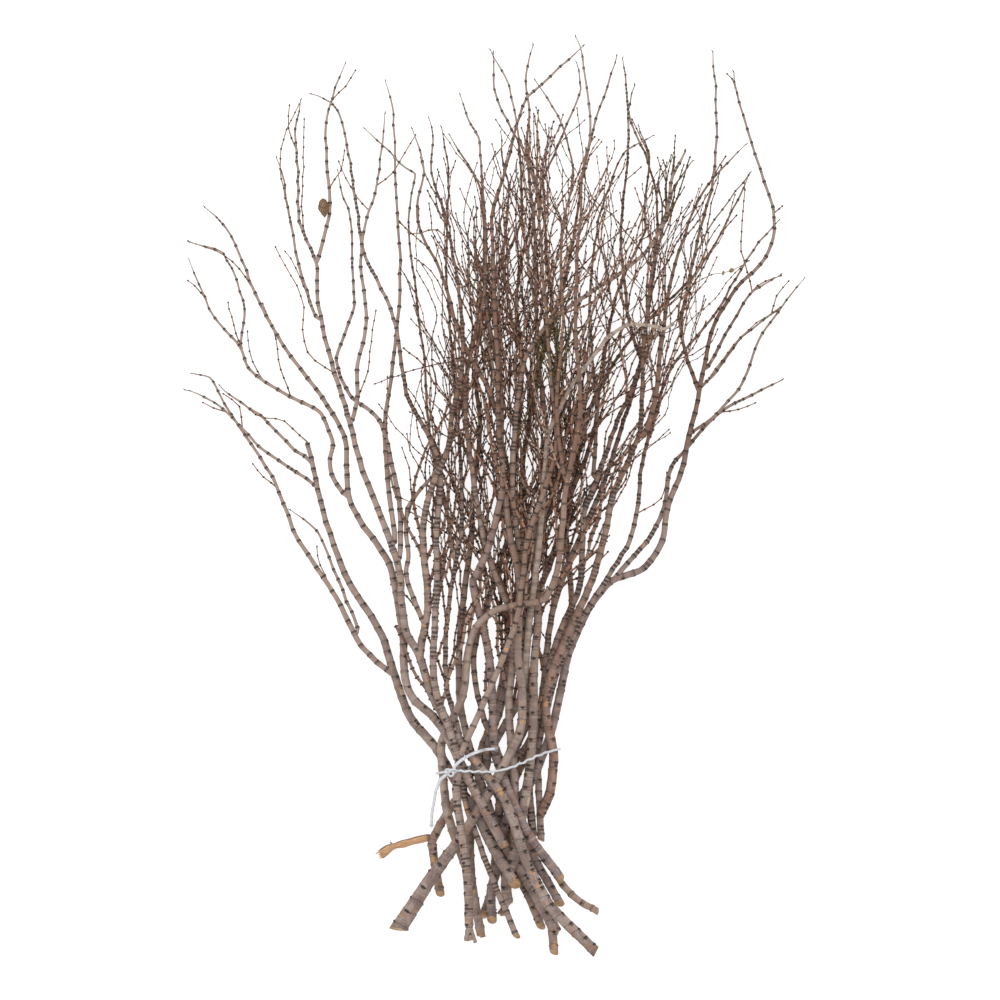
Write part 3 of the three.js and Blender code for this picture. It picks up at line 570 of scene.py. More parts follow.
# %% [markdown]
# A thin shoot also changes direction a little at each node, which is why the real branches look slightly
# jointed and never like wire. The middle lines get the same small kinks, larger where the rod is thin.

# %% Kink the lines at their nodes
KINK = 0.95 * MM  # the largest sideways step at a node


def kinked(name):
    """A rod's line with a small sideways step at every node."""
    chance = random.Random(name + " kinks")
    marks = np.concatenate([[0], nodes_of[name], [alongs[name][-1]]])
    offsets = np.array([chance.choice((-1, 1)) * chance.uniform(0.2, 1) * KINK for _ in marks])
    offsets[0] = 0
    slim = np.clip((6.5 * MM - reaches[name]) / (5 * MM), 0.15, 1)
    shift = np.interp(alongs[name], marks, offsets) * slim
    sides = np.array([side for side, _, _ in turning_frames(lines[name])])
    return lines[name] + sides * shift[:, None]


lines = {name: kinked(name) for name in lines}

# %% [markdown]
# ## The broom
# High up, the bunch is a broom of fine twigs. Its outline and its thickest places are read off the
# photograph, as a few pixels. The twigs will grow inside that outline, and the bark is browner where the
# broom is thickest: partly because it is younger there, and partly as painted shade from the dense twigs.

# %% Where twigs grow, and how far
CROWN_TOP_PX = (
    (375, 300), (390, 225), (400, 190), (430, 150), (460, 125), (480, 150), (500, 120), (520, 105),
    (550, 115), (575, 115), (600, 135), (650, 130), (680, 150), (700, 180), (725, 150), (750, 160),
    (765, 230),
)
CROWN_LEFT_PX = (
    (740, 440), (640, 410), (600, 402), (500, 382), (400, 372), (300, 392), (220, 392), (90, 455),
)
CROWN_RIGHT_PX = (
    (740, 545), (640, 560), (600, 585), (560, 625), (490, 668), (420, 700), (300, 748), (250, 762),
    (150, 752),
)
BROOMS_PX = (  # middle, half width, half height, how thick
    (547, 270, 24, 110, 1.0), (510, 370, 46, 80, 0.8), (560, 430, 40, 90, 0.65), (652, 310, 18, 110, 0.5),
    (700, 290, 38, 90, 0.50), (470, 410, 42, 80, 0.35), (440, 300, 30, 100, 0.15), (638, 430, 26, 90, 0.45),
    (692, 430, 30, 70, 0.50), (735, 330, 22, 60, 0.45), (610, 330, 40, 60, 0.20), (530, 560, 70, 110, 0.45),
    (600, 240, 36, 70, 0.1), (480, 220, 30, 70, 0.1),
)


def outline_at(places, at):
    """The value of an outline, given as pairs in any order, at one place."""
    ordered = sorted(places)
    return float(np.interp(at, [p[0] for p in ordered], [p[1] for p in ordered]))


def room(point):
    """How far inside the broom's outline a point of the frame is, in pixels."""
    px, py = pixel(point)
    return min(py - outline_at(CROWN_TOP_PX, px), px - outline_at(CROWN_LEFT_PX, py),
               outline_at(CROWN_RIGHT_PX, py) - px)


def thickness(point):
    """How thick the broom is round a point of the frame, from 0 to 1."""
    px, py = pixel(point)
    return max(full * math.exp(-((px - x) / w) ** 2 - ((py - y) / h) ** 2) for x, y, w, h, full in BROOMS_PX)


def in_crown(point):
    """How far a point lies inside the broom and up in it, from 0 to 0.75."""
    return 0.75 * np.clip((510 - pixel(point)[1]) / 150, 0, 1) * np.clip(room(point) / 40, 0, 1)


# %% [markdown]
# ## Bark
# The bark is smooth and taupe, greyer or redder from stem to stem, with faint streaks along it, a near-
# black ring at every node, darker half-moons where the leaves sat and a few orange spots where it is rubbed
# through. All of it is mixed from noise on the skin's own coordinates, so it follows every bend. One helper
# makes all the barks.

# %% Mix the barks
RING_BLACK = (0.036, 0.029, 0.027)
RUBBED_ORANGE = (0.54, 0.29, 0.14)
PEELED_PALE = (0.58, 0.44, 0.33)
TWIG_BROWN = (0.375, 0.275, 0.230)
# the dark brown next is young bark's tone, and also painted shade where the broom is thick
YOUNG_AND_SHADED_BROWN = (0.195, 0.106, 0.071)


def bark(name, pale, deep, ringed=1.0, slim=TWIG_BROWN):
    """Bark between a pale and a deep tone, and nearer to slim where it is thin.

    ringed is how dark its nodes are.
    """
    finish = Finish(name, 0.82)
    ramp, mix, cloudy, scaled = finish.ramp, finish.mix, finish.cloudy, finish.scaled
    times, plus, minus, most = finish.times, finish.plus, finish.minus, finish.most
    place = finish.attribute("bark_place")
    from_node, towards_scar, beside_scar = finish.parts(finish.attribute("growth"))
    peeled, paler, sooty = finish.parts(finish.attribute("wear"))
    at_node = ramp(finish.parts(finish.attribute("node_gap"))[0], 3.0, 4.5, 1, 0)
    girth = finish.length_of(towards_scar, beside_scar)
    young_and_shaded = finish.parts(finish.attribute("young_and_shaded"))[0]
    blotch = ramp(cloudy(place, 0.06), 0.40, 0.62)
    streak = cloudy(scaled(place, (0.9, 0.9, 0.11)), 1.0, 4.0)
    grain = cloudy(scaled(place, (0.5, 0.5, 1.1)), 1.0, 5.0)
    tone = mix(blotch, pale, deep)
    tone = mix(ramp(streak, 0.46, 0.72, 0, 0.75), tone, tuple(0.45 * c for c in deep))
    tone = mix(ramp(grain, 0.48, 0.68, 0, 0.6), tone, tuple(min(1.4 * c, 1) for c in pale))
    dusky = ramp(cloudy(scaled(place, (1, 1, 0.5)), 0.08, 2.0), 0.52, 0.66, 0, 0.65)
    tone = mix(dusky, tone, (0.185, 0.128, 0.120))
    warm = ramp(cloudy(place, 0.11, 4.0), 0.54, 0.70, 0, 0.7)
    tone = mix(warm, tone, (0.36, 0.185, 0.105))
    tone = mix(ramp(girth, 1.8, 6.3, 0.85, 0), tone, slim)
    # young bark and painted shade: darker brown where the broom is thick and deep, as the dense twigs there
    # shade the rods
    tone = mix(ramp(plus(young_and_shaded, grain), 0.45, 1.2, 0, 0.9), tone, YOUNG_AND_SHADED_BROWN)
    ragged = times(minus(grain, 0.5), 1.4)
    tone = mix(ramp(plus(paler, ragged), 0, 0.3, 0, 0.85), tone, PEELED_PALE)
    rubbed = ramp(cloudy(place, 0.17, 2.0), 0.67, 0.71)
    rubbed = most(rubbed, ramp(plus(peeled, ragged), 0, 0.25))
    tone = mix(times(rubbed, 0.85), tone, RUBBED_ORANGE)

    wobble = times(minus(streak, 0.5), 1.8)
    aside = finish.math("DIVIDE", beside_scar, girth)
    bow = times(times(aside, aside), 1.5)
    near = finish.math("ABSOLUTE", plus(from_node, wobble))
    near_bow = finish.math("ABSOLUTE", minus(plus(from_node, wobble), bow))
    broken = ramp(grain, 0.36, 0.56, 0.25, 1)
    plain_node = ramp(cloudy(scaled(place, (0.04, 0.04, 0.09)), 1.0), 0.40, 0.58, 0.3, 1)
    ring = times(ramp(near_bow, 0.2, 1.0, 0.8, 0), times(broken, plain_node))
    across = finish.math("DIVIDE", aside, 0.54)
    below = finish.math("DIVIDE", plus(from_node, 0.5), ramp(girth, 1.0, 6.0, 1.3, 2.1))
    rough = times(minus(grain, 0.5), 0.7)
    scar = ramp(plus(finish.length_of(across, below), rough), 0.62, 1.1, 1, 0)
    knot = times(ramp(girth, 2.9, 5.4, 0.9, 0.08), ramp(near, 0.9, 2.1, 1, 0))
    band = ramp(plus(sooty, ragged), 0, 0.3)
    marks = times(at_node, most(most(ring, scar), knot))
    dark = times(most(marks, band), ringed)
    relief = plus(grain, times(streak, 0.8))
    finish.bump(minus(relief, times(dark, 0.6)), 0.8, 0.6 * MM)
    return finish.colour(mix(dark, tone, RING_BLACK))


# %% Six barks
BARK_TONES = {  # its pale tone, its deep tone, how dark its nodes are, and its tone where thin
    "grey": ((0.375, 0.297, 0.261), (0.228, 0.173, 0.150), 0.93),
    "warm": ((0.390, 0.275, 0.218), (0.225, 0.148, 0.113), 0.9),
    "red": ((0.355, 0.222, 0.172), (0.205, 0.118, 0.088), 0.88),
    "violet": ((0.315, 0.245, 0.242), (0.170, 0.126, 0.125), 0.92),
    "pale": ((0.455, 0.370, 0.318), (0.315, 0.243, 0.203), 0.75),
    "bare": ((0.270, 0.210, 0.178), (0.170, 0.125, 0.105), 0.45, (0.475, 0.375, 0.305)),
}
barks = {name: bark("bark_" + name, *tones) for name, tones in BARK_TONES.items()}
print("barks:", ", ".join(barks))

# %% Cut wood
def cut_wood():
    """The pale orange wood of a fresh cut, with darker rings and a grey bloom."""
    finish = Finish("cut_wood", 0.75)
    place = finish.attribute("bark_place")
    x, y, _ = finish.parts(place)
    out = finish.length_of(x, y)
    rings = finish.math("SINE", finish.times(out, 5.0))
    patch = finish.cloudy(place, 0.5)
    tone = finish.mix(finish.ramp(rings, -0.6, 0.9), (0.50, 0.285, 0.140), (0.62, 0.40, 0.225))
    tone = finish.mix(finish.ramp(patch, 0.45, 0.7, 0, 0.7), tone, (0.30, 0.20, 0.13))
    finish.bump(finish.plus(patch, rings), 0.4, 0.3 * MM)
    return finish.colour(tone)


CUT_WOOD = cut_wood()

# %% [markdown]
# ## The skins
# Each stem is dressed in one closed skin: five rings of corners at every node, for its swelling, its ledge
# and its scars, and a few between. A skin made from real rings shows its nodes in the outline too, which a
# bump map can't do.

# %% Worn places
RUBBED, PALE, SOOTY = range(3)
UNWORN = -3.0
WORN_PX = {  # where in the photograph, and half its length and half its width in mm
    PALE: ((305, 438, 7, 4), (402, 693, 8, 3), (315, 535, 8, 3), (530, 801, 9, 3.5)),
    RUBBED: (
        (474, 761, 4, 3), (522, 722, 4, 3), (546, 704, 5, 3), (501, 792, 6, 4), (466, 809, 9, 2.5),
        (496, 806, 3, 4), (533, 872, 4, 4), (538, 886, 5, 3), (505, 844, 4, 3), (494, 852, 3, 3),
        (487, 879, 4, 3), (474, 854, 7, 3), (471, 909, 3, 5), (484, 917, 10, 4), (433, 860, 7, 3),
        (429, 836, 5, 5), (555, 945, 6, 3), (557, 891, 4, 3), (516, 878, 4, 3),
    ),
    SOOTY: tuple((500, py, 3, 6) for py in (400, 421, 443, 464)),
}


def rod_on_top(px, py):
    """The rod that is seen at a pixel: of those that pass under it, the highest."""
    target = np.array(spot(px, py)[:2])
    heights = {}
    for name in lines:
        away = np.linalg.norm(lines[name][:, :2] - target, axis=1)
        nearest = int(away.argmin())
        if away[nearest] < 1.4 * reaches[name][nearest]:
            heights[name] = lines[name][nearest][2] - away[nearest]
    return max(heights, key=heights.get) if heights else None


worn_on = {}
for kind, patches in WORN_PX.items():
    for px, py, *half in patches:
        worn_on.setdefault(rod_on_top(px, py), []).append((spot(px, py), *half, kind))
print("worn places:", {name: len(patches) for name, patches in worn_on.items()})


def wear_at(name, place, ahead, facing_up):
    """How deep inside a worn place of each kind a corner of a skin lies: 1 in its middle, 0 at its edge."""
    wear = [UNWORN] * 3
    level = ahead.xy.normalized()
    for middle, long, wide, kind in worn_on.get(name, ()):
        off = (place - middle).xy / MM
        far = math.hypot(off.dot(level) / long, off.cross(level) / wide)
        wear[kind] = max(wear[kind], 1 - far - 2 * max(0, -facing_up))
    return wear


# %% Where a skin has its rings
NODE_RINGS = (-2.5 * MM, -1.1 * MM, 0.0, 0.8 * MM, 2.4 * MM)
WIDEST_PLAIN = 6.5 * MM  # the longest stretch with no ring on it
CUT_SLANT = (0.25, 1.0)  # how steep a butt is cut, as a share of its width
STEM_SIDES, FORK_SIDES = 12, 10
CROWN_SLIMMING = 0.2  # how much thinner a rod is inside the broom
TIP_TAPER = ((0, 3 * MM, 30 * MM), (0.4, 0.5, 1))  # how far from the tip, and how thick it is there
FORKED_FOOT = "stem_hooked"  # narrow at its foot, where it splits into two prongs
FOOT_TAPER = ((8 * MM, 18 * MM), (0.5, 1))
# the next stems get less of the broom's dark brown, which is young bark and painted shade
OLD_BARK_LESS_SHADED = {"stem_outer_left": 0, "stem_barkless": 0, "stem_diagonal": 0.3}  # paler in the broom
BLUNT = ("stem_outer_left", "stem_barkless")  # broken off, so its tip doesn't narrow to a bud


def bark_layers(bm):
    """The numbers that a bark skin carries on its corners for its finish."""
    vectors = [bm.verts.layers.float_vector.new(name) for name in ("growth", "bark_place", "wear")]
    return vectors + [bm.verts.layers.float.new(name) for name in ("node_gap", "young_and_shaded")]


def bark_piece(bm, name, material):
    """A piece in bark, with cut wood on its flat ends."""
    for face in bm.faces:
        face.material_index = 1 if len(face.verts) > 4 else 0
    return piece_from(bm, name, [material, CUT_WOOD])


def stations_of(name):
    """How far along a rod its skin's rings are: several at each node, and some between."""
    length = alongs[name][-1]
    rings = [float(node + ring) for node in nodes_of[name] for ring in NODE_RINGS]
    marks = sorted({0.0, length, *(mark for mark in rings if 0 < mark < length)})
    filled = [marks[0]]
    for mark in marks[1:]:
        if mark - filled[-1] < 0.25 * MM:
            continue
        gaps = math.ceil((mark - filled[-1]) / WIDEST_PLAIN)
        filled += [filled[-1] + (mark - filled[-1]) * (k + 1) / gaps for k in range(gaps)]
    return np.array(filled)


# %% Dress a rod
def dress(name, material, sides):
    """Makes the bark of one rod and lets it stand for the rod's solid."""
    spots = stations_of(name)
    line = np.stack([np.interp(spots, alongs[name], lines[name][:, k]) for k in range(3)], axis=1)
    reach = np.interp(spots, alongs[name], reaches[name])
    reach *= [1 - CROWN_SLIMMING * in_crown(Vector(p)) for p in line]
    if name not in BLUNT:
        reach *= np.interp(spots[-1] - spots, *TIP_TAPER)
    if name == FORKED_FOOT:
        reach *= np.interp(spots, *FOOT_TAPER)
    places = nodes_of[name]
    nearest = np.abs(spots[:, None] - places[None, :]).argmin(axis=1)
    from_node = spots - places[nearest]
    chance = random.Random(name + " cut")
    slant_way, slant_by = math.pi / 2 + chance.gauss(0, 0.9), chance.uniform(*CUT_SLANT)

    def scar_turn(i):
        return math.pi / 2 * (nearest[i] % 2) + 0.6 * math.sin(3.1 * nearest[i] + len(name))

    def skin(i, angle):
        d = from_node[i] / MM
        thin = np.clip((3.4 - reach[i] / MM) / 2.4, 0, 1)
        swelling = (0.06 + 0.34 * thin) * math.exp(-((d + 0.4) / (1.9 - 0.4 * thin)) ** 2)
        ledge = -0.04 * math.exp(-((d - 1.4) / 0.9) ** 2)
        scar = (0.15 + 0.35 * thin) * math.cos(angle - scar_turn(i)) ** 6 * math.exp(-((d + 0.8) / 1.2) ** 2)
        lump = 0.09 * noise.noise(Vector(line[i]) * 110 + Vector((math.cos(angle), math.sin(angle), 0)) * 0.8)
        return reach[i] * (1 + swelling + ledge + scar + lump)

    def slant(i, angle):
        is_cut = i == 0 and name.startswith("stem")
        return reach[i] * slant_by * math.cos(angle - slant_way) if is_cut else 0.0

    bm = bent_cylinder(line, sides, skin, slant)
    growth, bark_place, wear, node_gap, young_and_shaded = bark_layers(bm)
    offset = 37.0 * (sorted(rods).index(name) + 1)
    ahead = [Vector(way) for way in np.gradient(line, axis=0)]
    for v, i, angle in corners_of(bm):
        across = reach[i] / MM
        v[growth] = (from_node[i] / MM, *place_round(across, angle - scar_turn(i), 0)[:2])
        v[bark_place] = place_round(across, angle, spots[i] / MM + offset)
        v[node_gap] = abs(from_node[i]) / MM
        # how young the bark is and how much painted shade the broom casts here, from its thickness and its
        # depth
        v[young_and_shaded] = OLD_BARK_LESS_SHADED.get(name, 1) * (thickness(v.co) + in_crown(v.co))
        v[wear] = wear_at(name, v.co, ahead[i], (v.co.z - line[i][2]) / reach[i])
        v.co.z = max(v.co.z, 0.1 * MM)
    piece = bark_piece(bm, "bark_of_" + name, material)
    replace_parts(piece, name)
    return piece


# %% Dress every rod
TONES = {
    "stem_red": "red", "fork_red_right": "red", "stem_barkless": "bare", "stem_left_main": "grey",
    "fork_left_main_banded": "warm", "stem_purple": "violet", "stem_outer_right": "violet",
    "stem_back_right": "violet", "stem_torn": "warm", "stem_thick": "grey", "stem_crossing": "pale",
    "stem_diagonal": "warm", "stem_centre": "grey", "stem_grey_left": "pale", "stem_right_inner": "warm",
    "stem_low_centre": "red", "stem_low_right": "warm", "stem_back_centre": "warm", "stem_dark_brown": "grey",
}
PEELED = "fork_torn_stub"
dressed = {}
for name in sorted(rods):
    if name != PEELED:
        tone = TONES.get(name) or TONES.get(carrier_of(name) if name.startswith("fork") else name, "grey")
        dressed[name] = dress(name, barks[tone], STEM_SIDES if name.startswith("stem") else FORK_SIDES)
print("corners in the bark:", sum(len(piece.data.vertices) for piece in dressed.values()))

# %% [markdown]
# ## The torn stub
# Low on the left a side branch was torn off, and its bark came away with it. What is left is a flat tongue
# of pale orange wood, with long fibres that stand apart at its end and a dark thread of bark along one
# edge. It is the same bent cylinder as the stems, with ridges along it instead of nodes, and with splinters
# at its end.

# %% Torn wood
def torn_wood():
    """Bare wood that was torn along its grain."""
    finish = Finish("torn_wood", 0.7)
    place = finish.attribute("bark_place")
    towards_edge, from_root, _ = finish.parts(finish.attribute("growth"))
    fibres = finish.cloudy(finish.scaled(place, (1.5, 1.5, 0.14)), 1.0, 4.0)
    tone = finish.mix(finish.ramp(fibres, 0.36, 0.64), (0.72, 0.45, 0.255), (0.44, 0.235, 0.115))
    blotch = finish.ramp(finish.cloudy(place, 0.16), 0.5, 0.75, 0, 0.5)
    tone = finish.mix(blotch, tone, (0.36, 0.24, 0.16))
    edge = finish.plus(towards_edge, finish.times(finish.minus(fibres, 0.5), 0.5))
    bark_left = finish.ramp(finish.plus(from_root, finish.times(fibres, 9.0)), 10.5, 13.0, 1, 0)
    bark_left = finish.most(bark_left, finish.ramp(edge, 0.72, 0.84, 0, 0.9))
    finish.bump(fibres, 0.9, 0.7 * MM)
    return finish.colour(finish.mix(bark_left, tone, (0.190, 0.118, 0.085)))


# %% Tear the stub
SPLINTERS = 22  # long fibres that stand apart at its end
STUB_SIDES = 16
STUB_WIDTHS = (1.15, 1.18, 1.08, 1.25, 0.84, 1.3, 1.34)  # from its root to its torn end


def torn_stub():
    """The bare stub of the torn branch, with its splinters, in one piece."""
    line, along = fair_line(lines[PEELED][::2], 1.5 * MM)
    reach = np.interp(along, alongs[PEELED], reaches[PEELED])
    last = len(line) - 1
    chance = random.Random(PEELED)

    def skin(i, angle):
        width = np.interp(i / last, np.linspace(0.1, 1, len(STUB_WIDTHS)), STUB_WIDTHS)
        pressed = 1 - 0.25 * abs(math.sin(angle)) * i / last
        ridges = 0.07 * math.cos(5 * angle + 0.02 * i) + 0.05 * math.cos(9 * angle - 0.05 * i)
        uneven = 0.16 * noise.noise(Vector((0.11 * i, 2 * math.cos(angle), 2 * math.sin(angle))))
        return reach[i] * (width + ridges + uneven) * pressed

    def jagged(i, angle):
        return 6 * MM * noise.noise(Vector(place_round(3, angle, 5))) if i == last else 0.0

    whole = bent_cylinder(line, STUB_SIDES, skin, jagged)
    end, ahead = Vector(line[-1]), (Vector(line[-1]) - Vector(line[-4])).normalized()
    side = ahead.cross(Vector((0, 0, 1)))
    for _ in range(SPLINTERS):
        out = side * chance.uniform(-0.9, 0.9) + Vector((0, 0, chance.uniform(-0.6, 0.8)))
        root = end + (out - ahead) * reach[-1]
        tip = root + (ahead * chance.uniform(1.1, 2.4) + out * 0.4) * reach[-1]
        splinter_line = [root.lerp(tip, k / 3) for k in range(4)]
        join(whole, bent_cylinder(splinter_line, 5, lambda i, angle: (1.2 - 0.33 * i) * MM))
    growth = whole.verts.layers.float_vector.new("growth")
    bark_place = whole.verts.layers.float_vector.new("bark_place")
    for number, (v, i, angle) in enumerate(corners_of(whole)):
        on_stub = number < STUB_SIDES * len(line)
        v[growth] = (math.cos(angle), 1.5 * i, 0) if on_stub else (0, 50, 0)
        v[bark_place] = place_round(6 if on_stub else 1, angle, 1.5 * i + number % 7)
    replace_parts(piece_from(whole, "torn_stub", [torn_wood()]), PEELED)


torn_stub()

# %% [markdown]
# ## Cut side shoots
# A few short stumps of side shoots stand out at the butts, two of them like prongs at the foot of one stem.
# Each is a short bent cylinder in the same bark, with cut wood at its end.

# %% Side stumps
STUMPS_PX = (  # from, to, half its width in mm
    ((469, 924), (466.5, 941), 3.3), ((470, 926), (475.5, 943), 2.3), ((493, 914), (496.5, 910), 1.3),
    ((480, 925), (483, 938), 3.4), ((452, 806), (446.5, 806.5), 1.2), ((505, 906), (498, 915), 1.7),
    ((534, 866), (529, 868), 1.2), ((392, 846), (390, 842.5), 1.0),
)
every_line = np.concatenate([lines[name] for name in sorted(lines)])


def nearest_of(places, point):
    """The one of many places that is seen nearest to a point from above."""
    return Vector(places[np.linalg.norm(places[:, :2] - np.array(point.xy), axis=1).argmin()])


for number, (foot, tip, half) in enumerate(STUMPS_PX):
    start, stop = spot(*foot), spot(*tip)
    start.z = stop.z = nearest_of(every_line, start).z
    arched = start.lerp(stop, 0.5) + Vector((0, 0, half * MM * 0.3))
    stump_line, _ = fair_line([start, arched, stop], 2.5 * MM)

    def uneven(i, angle):
        return half * MM * (1 + 0.12 * math.sin(2.2 * i + 3 * angle))

    bm = bent_cylinder(stump_line, FORK_SIDES, uneven)
    growth, bark_place, wear, node_gap, _ = bark_layers(bm)
    for v, i, angle in corners_of(bm):
        x, y, along = place_round(5, angle, 2.5 * i + 11 * number)
        v[growth], v[bark_place] = (6, x, y), (x, y, along)
        v[node_gap], v[wear] = 6, [UNWORN] * 3
    bark_piece(bm, "side_stump_" + str(number + 1), barks["warm" if number % 2 else "grey"])
print("side stumps:", len(STUMPS_PX))

# %% [markdown]
# ## Fine twigs
# Above the main forks the bunch is a broom of fine brown twigs, hundreds of them, each with a dark bud at
# every node. No two are alike, so they are grown: a twig starts at a node of a stem, leans away from it,
# takes one step after another with a slight zigzag, and may carry smaller twigs of its own. The seeds are
# fixed, so it always grows alike.

# %% Grow the twigs
TWIG_STEP = 12.5 * MM
THINNEST = 0.75 * MM
STRAIGHTEN = 0.12  # how much of its lean a twig loses at each node
ZIGZAG = 0.13  # how much a twig turns at a node by chance
SPROUTING = (0.24, 0.12)  # the chance of a smaller twig at each node of a twig, and at each of that one's
FAN_FOOT = spot(500, 1000)  # the twigs fan out from about here
LOWEST_TWIG, HIGHEST_TWIG = 4 * MM, 0.25
twigs = []  # of each: its nodes' places, and how thick it is at each


def headed(direction, angle, rise):
    """A level direction turned by an angle, and tilted up a little."""
    level = Vector((direction.x, direction.y, 0)).normalized()
    turned = Matrix.Rotation(angle, 3, "Z") @ level
    return Vector((turned.x, turned.y, rise)).normalized()


def grow(start, direction, length, girth, chance, order):
    """Grows one twig node by node, and smaller twigs on it, until it comes too near the outline."""
    place, nodes, girths = Vector(start), [Vector(start)], [girth]
    bend, rise, shy = chance.gauss(0, 0.04), chance.uniform(-0.05, 0.05), chance.choice((-12, 4, 20, 50))
    step, finished = TWIG_STEP * chance.uniform(0.75, 1.15) * (0.85 if order > 1 else 1), True
    while (len(nodes) - 1) * step < length:
        share = (len(nodes) - 1) * step / length
        fan = (place - FAN_FOOT).normalized()
        off = fan.xy.angle_signed(direction.xy)
        direction = headed(direction, STRAIGHTEN * off + bend + chance.gauss(0, ZIGZAG), rise)
        place = place + direction * step * chance.uniform(0.8, 1.2)
        place.z = min(max(place.z, LOWEST_TWIG), HIGHEST_TWIG)
        if len(nodes) > 2 and room(place) < shy:
            finished = False
            break
        nodes.append(place.copy())
        girths.append(girth + (THINNEST - girth) * share)
        if order < 3 and len(nodes) > 2 and chance.random() < SPROUTING[order - 1] * (0.2 + thickness(place)):
            lean = chance.choice((-1, 1)) * chance.uniform(0.2, 0.55)
            grow(place, headed(direction, lean, rise), length * chance.uniform(0.3, 0.7), girths[-1] * 0.8,
                 chance, order + 1)
    # a twig that was stopped early is kept only if it had grown for a while
    if len(nodes) > (1 if finished else 8 if girth > 1.4 * MM else 3):
        twigs.append((nodes, girths))


# %% Twigs on the rods
def point_on(name, along):
    """A point of a rod's middle line."""
    return Vector([float(np.interp(along, alongs[name], lines[name][:, k])) for k in range(3)])


def shoot_from(name, along, chance, lean, length, girth):
    """Grows a twig out of a rod, at a distance along it."""
    start, ahead = point_on(name, along), point_on(name, along + 5 * MM)
    grow(start, headed(ahead - start, lean, 0), length, girth, chance, 1)


SHOOT_FROM_PY, BROOM_FROM_PY = 740, 520  # the lowest rows of the photograph with twigs, and with the broom
LONG_CHANCE, SPUR_CHANCE = 0.16, 0.06  # of a long twig below the broom, and of a short spur
for name in sorted(rods):
    chance = random.Random(name + " twigs")
    for along in nodes_of[name] if name != PEELED else ():
        start = point_on(name, along)
        reach = float(np.interp(along, alongs[name], reaches[name]))
        px, py = pixel(start)
        if py > SHOOT_FROM_PY or room(start) < 4 or along > alongs[name][-1] - 6 * MM:
            continue
        lean = chance.choice((-1, 1)) * chance.uniform(0.15, 0.6)
        if py > BROOM_FROM_PY and chance.random() < LONG_CHANCE:
            length = chance.uniform(180, 420) * MM
            shoot_from(name, along, chance, 0.6 * lean, length, min(2.9 * MM, reach * 0.65))
        elif chance.random() < 0.5 * thickness(start) + 0.02:
            girth = min(2.3 * MM, reach * 0.75) * chance.uniform(0.7, 1)
            shoot_from(name, along, chance, 0.7 * lean, chance.uniform(70, 230) * MM, girth)
        elif chance.random() < SPUR_CHANCE:
            shoot_from(name, along, chance, 1.6 * lean, chance.uniform(14, 30) * MM, 0.95 * MM)

# %% Two dense tufts
TUFTS_PX = ((553, 392, 15), (672, 222, 9))  # the foot of each dense little tuft, and how many twigs it has
for px, py, count in TUFTS_PX:
    chance = random.Random(px)
    for _ in range(count):
        start = nearest_of(every_line, spot(px + chance.gauss(0, 4), py + chance.gauss(0, 7)))
        way = headed(start - FAN_FOOT, chance.gauss(0, 0.12), 0.02)
        grow(start, way, chance.uniform(45, 95) * MM, 1.3 * MM, chance, 2)

# %% [markdown]
# At the sides, where the bunch is open, single twigs stand out, and each has its own route in the
# photograph. Those are drawn along their routes, from the stem that carries them.

# %% Single twigs at the sides
SINGLE_TWIGS_PX = (
    ((305, 438), (296, 432), (281, 419), (262, 418), (247, 408)),
    ((378, 186), (392, 175), (405, 153), (417, 135)),
    ((328, 376), (310, 355), (303, 330), (304, 310), (299, 290), (288, 270), (275, 246)),
    ((317, 315), (305, 290), (292, 260), (285, 250)), ((753, 293), (762, 282), (783, 275)),
    ((706, 388), (722, 360), (742, 336), (760, 321), (782, 306)), ((652, 160), (644, 142), (632, 118)),
    ((452, 242), (435, 230), (413, 235), (400, 222)), ((243, 427), (238, 405), (222, 393)),
    ((291, 228), (286, 200), (280, 165), (287, 130), (300, 103)), ((427, 247), (410, 232), (399, 222)),
    ((305, 235), (302, 205), (303, 170), (304, 140), (304, 118)),
    ((290, 398), (281, 370), (274, 335), (262, 302)), ((251, 284), (231, 260), (211, 249), (186, 241)),
    ((753, 290), (745, 262), (741, 245), (743, 215), (745, 195), (744, 180)),
    ((519, 330), (497, 339), (478, 356), (443, 363), (405, 372), (373, 385)),
    ((643, 515), (657, 503), (665, 490), (667, 470)), ((364, 208), (352, 190), (338, 160)),
    ((357, 400), (368, 372), (371, 340), (376, 310)), ((330, 190), (341, 172), (345, 150)),
    ((296, 150), (288, 128), (291, 105)), ((332, 100), (348, 84), (356, 70)),
    ((240, 348), (232, 320), (228, 300)), ((262, 380), (250, 355), (247, 330)),
    ((205, 300), (196, 288), (186, 280)), ((226, 411), (214, 408), (200, 402)),
    ((277, 488), (262, 476), (252, 462)), ((328, 585), (318, 560), (316, 545)), ((774, 212), (784, 205)),
    ((764, 303), (780, 292), (790, 280)), ((722, 412), (738, 410), (756, 402)),
    ((738, 95), (733, 80), (726, 73)),
)
SINGLE_GIRTH = 1.25 * MM
single_from = len(twigs)
for number, route in enumerate(SINGLE_TWIGS_PX):
    chance = random.Random(number)
    foot = spot(*route[0])
    carrier = nearest_of(every_line, foot)
    rise = chance.uniform(-0.02, 0.06)
    points = [spot(*p, carrier.z + rise * (spot(*p) - foot).length) for p in route]
    nodes, along = fair_line([carrier, *points[1:]], chance.uniform(10.5, 13.5) * MM)
    nodes = [Vector(n) + Vector((chance.gauss(0, 0.5), chance.gauss(0, 0.5), 0)) * MM for n in nodes]
    twigs.append((nodes, [SINGLE_GIRTH + (THINNEST - SINGLE_GIRTH) * a / along[-1] * 0.8 for a in along]))
print(len(twigs) - single_from, "single twigs at the sides")
print(len(twigs), "fine twigs,", sum(len(nodes) for nodes, _ in twigs), "buds")

# %% [markdown]
# A twig is a four-sided tube with three rings at each node, the middle one wider: that is its bud. Drawing
# hundreds of them one by one with operators would be slow, so their corners and faces are worked out as
# arrays and joined.

# %% Draw the twigs
TWIG_SIDES = 4
BUD_HALF = 1.6 * MM
BUD_SWELL = 1.9


